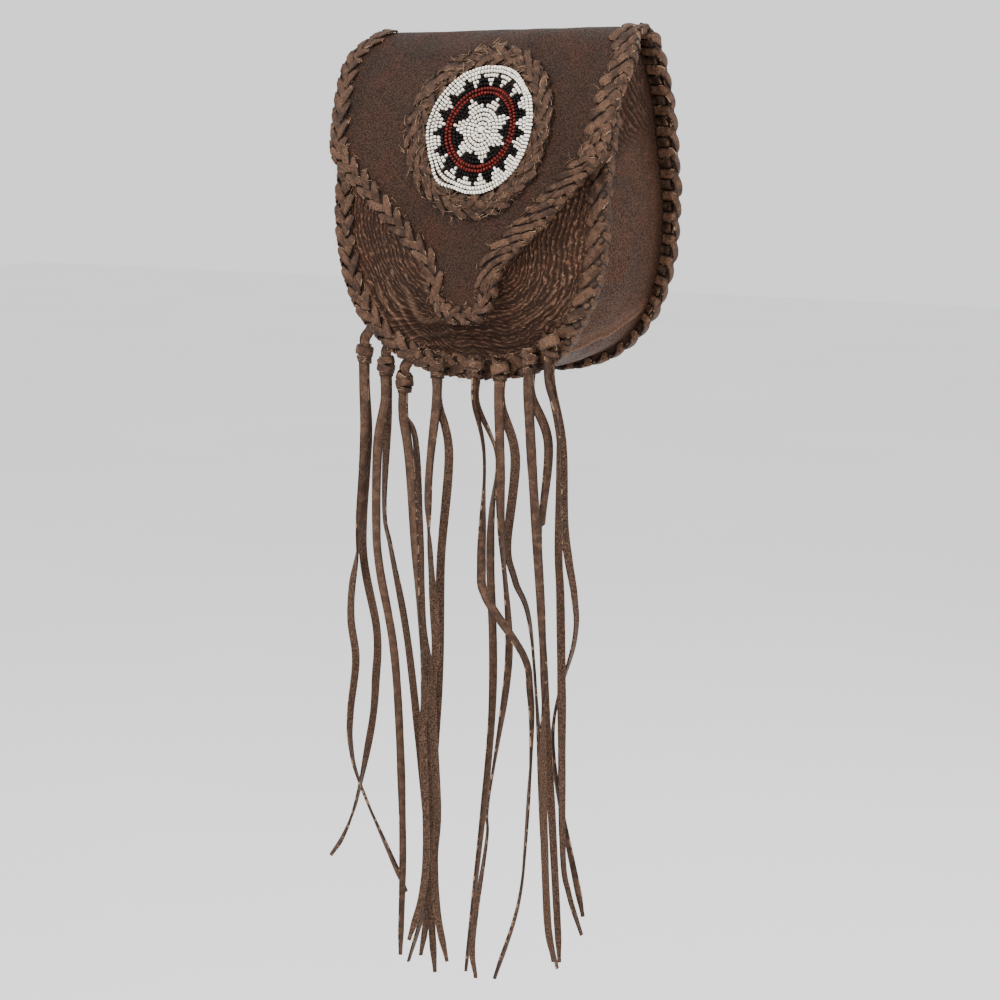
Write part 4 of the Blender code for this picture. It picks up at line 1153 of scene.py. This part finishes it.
def make_front_seam():
    edge = Edge(pocket_outline(FRONT_TOP), front_point, lambda y: LEATHER + GAP + GUSSET_LEATHER)
    seam = Lacing(edge, 11)
    chance = seam.chance
    braid_start = edge.length * FRONT_BRAID_START
    # Painted shade under the whipped loops.
    seam.core(0.0, braid_start, -0.0082, 0.0004, 0.0005)
    s = -0.004
    while s < braid_start:
        width = 0.0060 * chance.uniform(0.94, 1.05)
        first = max(s, 0.0)
        seam.leaf((first + 0.0105, 0.0010), (first + 0.0040, -0.0076), 0.0052, LACE_THICKNESS, 0.0002,
                  0.0009, tone=chance.uniform(0.0, 0.3), blunt=0.7)
        seam.leaf((max(s - 0.0016, 0.0), 0.0020), (s + 0.0132, -0.0084), width, BROAD_LACE_THICKNESS,
                  0.0006, 0.0020, bend=-0.0010, steps=12, blunt=0.62)
        # A dark patch of painted shade in the hole under each loop, with a brown patch over it.
        seam.leaf((s + 0.0070, 0.0014), (s + 0.0118, -0.0030), 0.0046, 0.0010, 0.0008, 0.0019,
                  tone=-0.9, steps=6, blunt=0.8)
        seam.leaf((s + 0.0082, 0.0010), (s + 0.0112, -0.0020), 0.0024, 0.0010, 0.0010, 0.0023,
                  tone=0.3, steps=6, blunt=0.8)
        s += FRONT_WHIP_PITCH * chance.uniform(0.97, 1.03)
    seam.herringbone(braid_start, edge.length, FRONT_BRAID_PITCH, 0.0100, 0.0058, -1.0, lift=0.0018)
    seam.rim_wraps(FRONT_BRAID_PITCH, 0.0052, 0.0024, 0.0034)
    count = round(edge.length / 0.003)
    cord = [(mix(0.001, edge.length - 0.001, step / count), -0.0002, -0.0034, 1.0, 0.0)
            for step in range(count + 1)]
    seam.lace(cord, 0.0018, 0.0009, 0.1, 3.0)
    seam.rim_cord(0.001, 0.3)
    seam.edge_fibres(60, -0.0095, 0.0012, 0.0014)
    seam.edge_fibres(90, -0.0100, 0.0012, 0.0016, (braid_start, edge.length * 0.66))
    ride_on(seam.shape.piece("front_seam_braid", lace), "bag", "lacing", "front_seam_lacing")


def make_back_seam():
    def stack(run):
        past = smooth((run - GUSSET_BACK_RUN) / (FOLD_RUN - GUSSET_BACK_RUN))
        return LEATHER + (GAP + GUSSET_LEATHER) * (1.0 - past)

    edge = Edge(pocket_outline(FOLD_RUN), sheet_point, stack)
    seam = Lacing(edge, 12)
    chance = seam.chance
    s = 0.004
    while s < edge.length - RUNG_PITCH:
        gap = RUNG_PITCH * chance.uniform(0.97, 1.03)
        y = edge.at(s)[1]
        rear = mix(0.0008, 0.0034, smooth((y - 0.012) / 0.040)) + 0.0030 * smooth((y - 0.065) / 0.060)
        low = smooth((0.040 - y) / 0.030)
        thick = edge.stack(y)
        round_it = thick + math.pi * 0.0010
        seam.leaf((s, round_it + rear), (s + 0.0004, round_it - 0.0012), mix(0.0054, 0.0042, low),
                  BROAD_LACE_THICKNESS, 0.0006, 0.0015, tone=chance.uniform(1.2, 2.2), steps=8, blunt=0.90)
        # Between the rungs, a dark patch of painted shade over the gap.
        if rear > 0.0016:
            seam.leaf((s + gap / 2.0, round_it + rear - 0.0004), (s + gap / 2.0, round_it - 0.0006),
                      0.0052, 0.0016, 0.0, 0.0011, tone=-0.42, steps=8, blunt=0.66)
        seam.leaf((s - 0.0012, round_it + 0.0008), (s + gap * 1.04, thick * 0.25), 0.0054,
                  BROAD_LACE_THICKNESS, 0.0007, 0.0016, bend=0.0006, steps=10, blunt=0.55)
        seam.leaf((s + gap * 0.9, thick * 0.45), (s + gap * 0.55, -0.0078), 0.0050,
                  BROAD_LACE_THICKNESS, 0.0008, 0.0014, blunt=0.7)
        s += gap
    seam.rim_cord(0.002)
    seam.edge_fibres(60, -0.0070, 0.0014, 0.0012)
    across_fold(seam.shape.piece("back_seam_ladder", lace), "lacing", "back_seam_lacing")


def make_flap_braid():
    edge = Edge(both_sides(flap_half_outline()), sheet_point, lambda y: LEATHER)
    braid = Lacing(edge, 13)
    tip_start = edge.length / 2.0 - TIP_HALF
    tip_end = edge.length / 2.0 + TIP_HALF
    braid.banded(0.0, 0.088, 0.0088, 0.0112, 0.0046)
    braid.banded(0.088, tip_start, 0.0086, 0.0100, 0.0078)
    braid.herringbone(tip_start, tip_end, 0.0086, 0.0076, 0.0042, 1.0)
    braid.herringbone(tip_end, edge.length, 0.0096, 0.0092, 0.0048, -1.0, reach=1.15)
    braid.rim_wraps(0.0088, 0.0056, 0.0050, 0.0030, first=-0.0010)
    braid.rim_cord(0.002)
    braid.edge_fibres(130, -0.0096, 0.0012, 0.0015)
    across_fold(braid.shape.piece("flap_edge_braid", lace), "lacing", "flap_edge_lacing")


# Rosette


# The star's points, in degrees from the top, and the shift of the pattern's middle
STAR_ANGLES = (25.6, 68.0, 116.6, 165.0, 221.7, 275.0, 329.0)
TOOTH_COUNT = 17
PATTERN_SHIFT = (0.0020, -0.0013)
# A bead's place along its hole, its radius and how much painted shade it has there, at its ends round the
# hole and next to its neighbours
BEAD_PROFILE = [(-0.38, 0.30, 1.0), (-0.49, 0.60, 0.7), (-0.38, 0.90, 0.15), (-0.14, 1.0, 0.0),
                (0.14, 1.0, 0.0), (0.38, 0.90, 0.15), (0.49, 0.60, 0.7), (0.38, 0.30, 1.0)]


def rosette_point(radius, angle, out):
    """A place of the rosette, by radius and angle from its top, on the flap."""
    x = ROSETTE_X + radius * math.sin(angle)
    run = FOLD_RUN + ROSETTE_RUN - radius * ROSETTE_STRETCH * math.cos(angle)
    return sheet_point(x, run, out)


def bead_place(ring_radius, angle, out):
    """The rounds follow the pattern's middle inside and the disc's middle outside."""
    stay = 1.0 - (ring_radius / DISC_RADIUS) ** 2
    x = ROSETTE_X + PATTERN_SHIFT[0] * stay + ring_radius * math.sin(angle)
    up = PATTERN_SHIFT[1] * stay + ring_radius * ROSETTE_STRETCH * math.cos(angle)
    return sheet_point(x, FOLD_RUN + ROSETTE_RUN - up, out)


def star_share(degrees):
    """How far an angle is from the star's nearest point, from 0 there to 1 at a notch."""
    points = [STAR_ANGLES[-1] - 360.0, *STAR_ANGLES, STAR_ANGLES[0] + 360.0]
    for low, high in zip(points, points[1:]):
        if low <= degrees <= high:
            return 1.0 - abs((degrees - low) / (high - low) * 2.0 - 1.0)
    return 1.0


def bead_colour(ring, share):
    """Which field a bead belongs to, by its ring from the middle and its share of a turn."""
    if ring in (8, 9):
        return "beads_red_ring"
    if ring < 8:
        in_star = star_share(share * 360.0) <= {7: 0.13, 6: 0.42, 5: 0.78}.get(ring, 1.0)
        return "beads_white_star" if in_star else "beads_black_field"
    in_tooth = abs((share * TOOTH_COUNT) % 1.0 - 0.5) * 2.0 < {10: 0.84, 11: 0.52, 12: 0.22}.get(ring, -1.0)
    return "beads_black_teeth" if in_tooth else "beads_white_rim"


def bead(shape, centre, along, up, length, radius, tone):
    side = along.cross(up).normalized()
    up = side.cross(along)
    sides = 9
    loops = []
    for place, size, near in BEAD_PROFILE:
        loop = []
        for step in range(sides):
            angle = 2.0 * math.pi * step / sides
            outward = side * math.cos(angle) + up * math.sin(angle)
            spot = centre + along * place * length + outward * size * radius
            loop.append(shape.vertex(spot, spot, tone, near))
        loops.append(loop)
    shape.tube(loops)


def make_beads():
    """The beads, in rounds. The outer rounds bulge at the lower left, where the real disc isn't
    round, and the last one is pulled in at the left and at the upper right."""
    chance = random.Random(14)
    shapes = {}
    base = ROSETTE_SEAT + BEAD_BED + GAP + BEAD_RISE
    for ring in range(BEAD_RINGS):
        radius = (ring + 0.5) * BEAD_PITCH
        count = max(5, round(2.0 * math.pi * radius / (BEAD_LENGTH * 1.06)))
        start = chance.random()
        for index in range(count):
            share = (index + start) / count % 1.0
            angle = 2.0 * math.pi * share
            slack = 0.00030 * wave(math.cos(angle) * 3.0, math.sin(angle) * 3.0, 2.0, ring * 0.7)
            bulge = (0.0, 0.0004, 0.0012, 0.0024)[max(0, ring - BEAD_RINGS + 4)]
            slack += bulge * bump_at(abs(share - 0.608), 0.055)
            if ring == BEAD_RINGS - 1:
                slack -= 0.0005 * bump_at(abs(share - 0.70), 0.05) + 0.0009 * bump_at(abs(share - 0.13), 0.05)
            reach = radius + slack + chance.gauss(0.0, 0.00005)
            out = base + chance.gauss(0.0, 0.00010)
            centre = bead_place(reach, angle, out)
            nearby = bead_place(reach, angle + 0.01 / (ring + 1), out)
            up = bead_place(reach, angle, out + 0.001) - centre
            along = (nearby - centre).normalized() + Vector([chance.gauss(0.0, 0.06) for _ in range(3)])
            shape = shapes.setdefault(bead_colour(ring, share), Shape())
            bead(shape, centre, along.normalized(), up.normalized(), BEAD_LENGTH * chance.uniform(0.76, 0.90),
                 BEAD_PITCH * 0.5 * chance.uniform(0.79, 0.91), chance.uniform(0.0, 1.0))
    for field, shape in shapes.items():
        colour = field.split("_")[1]
        glass = {"white": white_glass, "black": black_glass, "red": red_glass}[colour]
        ride_on(shape.piece("seed_" + field, glass, 60.0), "flap", "bead_" + colour, field)


def make_backing():
    """The leather that the beads are sewn to."""
    shape = Shape()
    rims = []
    for out in (ROSETTE_SEAT, ROSETTE_SEAT + BACKING_LEATHER):
        loops = []
        for ring in range(1, 13):
            radius = (DISC_RADIUS + 0.0001) * ring / 12
            loop = []
            for step in range(72):
                turn = step / 11.46
                grain = (radius * math.cos(turn), radius * math.sin(turn), 0.5)
                loop.append(shape.vertex(rosette_point(radius, 2.0 * math.pi * step / 72, out), grain))
            loops.append(loop)
        hub = shape.vertex(rosette_point(0.0, 0.0, out), (0.0, 0.0, 0.5))
        for a, b in zip(loops[0], loops[0][1:] + loops[0][:1]):
            shape.faces.append((hub, a, b))
        shape.bridge(loops)
        rims.append(loops[-1])
    shape.bridge(rims)
    ride_on(shape.sheet("rosette_leather", leather), "flap", "leather", "rosette_backing")


class Round:
    """The ring round the beads as an edge: s runs round it, and n from -RING_WIDTH at its inner
    side to 0 at its outer one."""
    radius = DISC_RADIUS + 0.0002
    length = 2.0 * math.pi * (radius + RING_WIDTH / 2.0)

    def stack_at(self, s):
        return 0.002

    def point(self, s, n, out):
        angle = 2.0 * math.pi * s / self.length
        width = RING_WIDTH - RING_SHIFT * math.sin(angle)
        width += 0.0009 * wave(math.cos(angle), math.sin(angle), 0.35)
        return rosette_point(self.radius + width * (1.0 + n / RING_WIDTH), angle, ROSETTE_SEAT + out)


def make_rosette_braid():
    """Plaited thong sewn on in a ring, with torn pale edges, and small dark patches of painted shade for its
    lace holes outside.
    """
    edge = Round()
    braid = Lacing(edge, 15)
    chance = braid.chance
    core = [(edge.length * step / 90, -RING_WIDTH * 0.52, 0.0005, 0.0, 1.0) for step in range(91)]
    braid.lace(core, RING_WIDTH * 0.84, 0.0008, -0.08)
    pitch = edge.length / RING_PLAITS
    columns = ((-0.0113, -0.0062, -1.0), (-0.0078, -0.0030, 1.0), (-0.0050, 0.0002, 1.0))
    for index in range(RING_PLAITS):
        for column, (a0, a1, turn) in enumerate(columns):
            s = (index + 0.5 * column) * pitch + chance.gauss(0.0, 0.0006)
            reach = pitch * chance.uniform(0.40, 0.58)
            braid.leaf((s + turn * reach, a0 + chance.gauss(0.0, 0.0004)),
                       (s - turn * reach, min(a1 + chance.gauss(0.0, 0.0006), 0.0004)),
                       0.0044 * chance.uniform(0.80, 1.12), 0.0009, 0.0006, chance.uniform(0.0011, 0.0018),
                       tone=chance.uniform(0.0, 0.75), bend=chance.gauss(0.0, 0.0006), steps=8,
                       blunt=chance.uniform(0.35, 0.60))
        # Small dark patches of painted shade for the lace holes outside the ring.
        if chance.random() < 0.8:
            s = (index + 0.15) * pitch
            braid.leaf((s - 0.0009, 0.0008), (s + 0.0009, -0.0002), 0.0016, 0.0007, 0.0008, 0.0010,
                       tone=-1.0, steps=5, blunt=0.6)
    for index in range(3 * RING_PLAITS):
        s = (index + chance.random()) * pitch / 3.0
        turn = chance.choice((-1.0, 1.0))
        low = chance.uniform(-0.0108, -0.0020)
        braid.leaf((s, low), (s + turn * chance.uniform(0.003, 0.009), low + chance.gauss(0.0, 0.0022)),
                   chance.uniform(0.0004, 0.0010), 0.0005, 0.0012, 0.0021,
                   tone=chance.choice((0.0, 0.6, 1.0)), steps=6, blunt=0.2)
    for _ in range(190):
        s = chance.uniform(0.0, edge.length)
        n = chance.choice((-RING_WIDTH, -RING_WIDTH * 0.5, -0.0002)) + chance.gauss(0.0, 0.0009)
        out = 0.0016 + chance.uniform(-0.0003, 0.0006)
        inside = min(n, 0.0006)
        start = edge.point(s, inside, out)
        ahead = edge.point(s + 0.0005 * chance.choice((-1.0, 1.0)), inside + chance.uniform(-3e-4, 5e-4), out)
        braid.fibre(start, ahead, s, n, out, chance.uniform(0.0020, 0.0056))
    ride_on(braid.shape.piece("rosette_plait", lace), "flap", "lacing", "rosette_braid")


# Knots


def wind(shape, centre, axis, radius_x, radius_y, width, tone, origin):
    """A flat lace wound once round an axis."""
    side = Vector((0.0, 1.0, 0.0)).cross(axis).normalized()
    depth = axis.cross(side).normalized()
    centres = []
    ups = []
    for step in range(KNOT_LACE_STEPS):
        angle = 2.0 * math.pi * step / KNOT_LACE_STEPS
        around = side * math.cos(angle) * radius_x + depth * math.sin(angle) * radius_y
        centres.append(centre + around)
        ups.append(around.normalized())
    shape.strip(centres, ups, width, BROAD_LACE_THICKNESS, tone, origin, closed=True)


def make_knot(name):
    """Turns of lace round the two thongs' upper ends, for some knots under a doubled neck."""
    chance = random.Random(name)
    x, height, kind, turns = KNOTS[name]
    bottom = knot_bottom(name)
    upright = Vector((0.0, 0.0, 1.0))
    middle = bottom + upright * KNOT_HEIGHT / 2.0
    shape = Shape()
    radius_x = KNOT_RADIUS * 0.84
    radius_y = KNOT_RADIUS * KNOT_DEPTH_SHARE * 0.86
    for rise, tilt, size, width, tone in turns:
        axis = Vector((math.sin(tilt), 0.15 * chance.uniform(-1.0, 1.0), math.cos(tilt)))
        wind(shape, middle + upright * rise * KNOT_HEIGHT, axis.normalized(), radius_x * size,
             radius_y * size, width, tone, chance.uniform(0.0, 9.0))
    core = [bottom + upright * KNOT_HEIGHT * share for share in (-0.06, 0.2, 0.4, 0.6, 0.8, 0.96)]
    for shift in (-0.0015, 0.0015):
        centres = [place + Vector((shift, shift * 0.6, 0.0)) for place in core]
        turn = chance.uniform(-0.5, 0.5)
        ups = [Vector((math.sin(turn), -math.cos(turn), 0.0))] * len(centres)
        shape.strip(centres, ups, 0.0040, 0.0022, chance.uniform(0.0, 0.6), chance.uniform(0.0, 9.0))
    if kind == "neck":
        top = core[-1]
        rim = world((x + 7.0) * MM, BODY_DEPTH + BAND_GAP, (height + 17.0) * MM)
        neck = curve_through([top - upright * 0.002, top + upright * 0.003, top.lerp(rim, 0.6), rim], 0.0016)
        shares = [step / (len(neck) - 1) for step in range(len(neck))]
        low_up, high_up = Vector((0.5, -0.86, 0.0)), Vector((-0.1, -0.95, 0.3))
        for shift, width, tone in ((0.0009, 0.0054, 0.9), (-0.0012, 0.0040, 0.2)):
            centres = [place + Vector((shift * 1.6, -shift, 0.0)) for place in neck]
            ups = [low_up.lerp(high_up, share).normalized() for share in shares]
            widths = [width * mix(0.75, 1.0, math.sin(math.pi * share)) for share in shares]
            shape.strip(centres, ups, widths, BROAD_LACE_THICKNESS, tone, chance.uniform(0.0, 9.0))
    for _ in range(7):
        angle = chance.uniform(-1.2, 1.2)
        out = Vector((math.sin(angle), -math.cos(angle), 0.0))
        start = middle + out * radius_y * 1.12 + upright * chance.uniform(-0.4, 0.45) * KNOT_HEIGHT
        along = out.cross(upright) * chance.choice((-1.0, 1.0)) + upright * chance.uniform(-0.6, 0.6)
        shape.fibre(start, along.normalized(), out, chance.uniform(0.0016, 0.0036), chance)
    ride_on(shape.piece("tied_" + name, lace), "bag", "lacing", name)


# Camera, light and floor


def add_camera():
    camera = bpy.data.objects.new("camera", bpy.data.cameras.new("camera"))
    camera.location = (0.7104, -1.1283, 0.0414)
    camera.rotation_euler = (math.radians(90.0 - 9.21), 0.0, math.radians(33.26))
    camera.data.sensor_width = 36.0
    camera.data.lens = 88.9
    bpy.context.scene.collection.objects.link(camera)
    bpy.context.scene.camera = camera


def add_floor():
    mesh = bpy.data.meshes.new("floor")
    size = 9.0
    corners = [(-size, -size, 0.0), (size, -size, 0.0), (size, size, 0.0), (-size, size, 0.0)]
    mesh.from_pydata(corners, [], [(0, 1, 2, 3)])
    floor = bpy.data.objects.new("floor", mesh)
    floor.location.z = -0.85
    bpy.context.scene.collection.objects.link(floor)
    paint = Paint("floor")
    spot = paint.noise(paint.node("ShaderNodeTexCoord").outputs["Object"], 1.5, 2.0)
    colour = paint.coats((0.90, 0.90, 0.90, 1.0), (spot, 0.3, 0.7, 1.0, (0.93, 0.93, 0.93, 1.0)))
    mesh.materials.append(paint.finish(Base_Color=colour, Roughness=0.9))


def add_light():
    """A white sky and three soft lamps that face the bag."""
    scene = bpy.context.scene
    sky = scene.world or bpy.data.worlds.new("studio")
    scene.world = sky
    sky.use_nodes = True
    background = sky.node_tree.nodes.get("Background")
    background.inputs["Color"].default_value = (1.0, 1.0, 1.0, 1.0)
    background.inputs["Strength"].default_value = 1.3
    for name, place, power, width in (("key", (-0.7, -1.6, 1.4), 50.0, 0.7),
                                      ("fill", (1.8, -0.9, 0.9), 42.0, 1.0),
                                      ("back", (0.2, 1.6, 1.2), 16.0, 1.4)):
        light = bpy.data.lights.new(name, "AREA")
        light.energy = power
        light.size = width
        lamp = bpy.data.objects.new(name, light)
        lamp.location = place
        towards = Vector((0.0, -0.03, -0.05)) - Vector(place)
        lamp.rotation_euler = towards.to_track_quat("-Z", "Y").to_euler()
        scene.collection.objects.link(lamp)


add_camera()
for thong_name in THONGS:
    make_thong(thong_name)
make_sheet()
make_front_panel()
make_gusset()
make_front_seam()
make_back_seam()
make_flap_braid()
make_backing()
make_beads()
make_rosette_braid()
for knot_name in KNOTS:
    make_knot(knot_name)
make_belt_loops()
add_floor()
add_light()
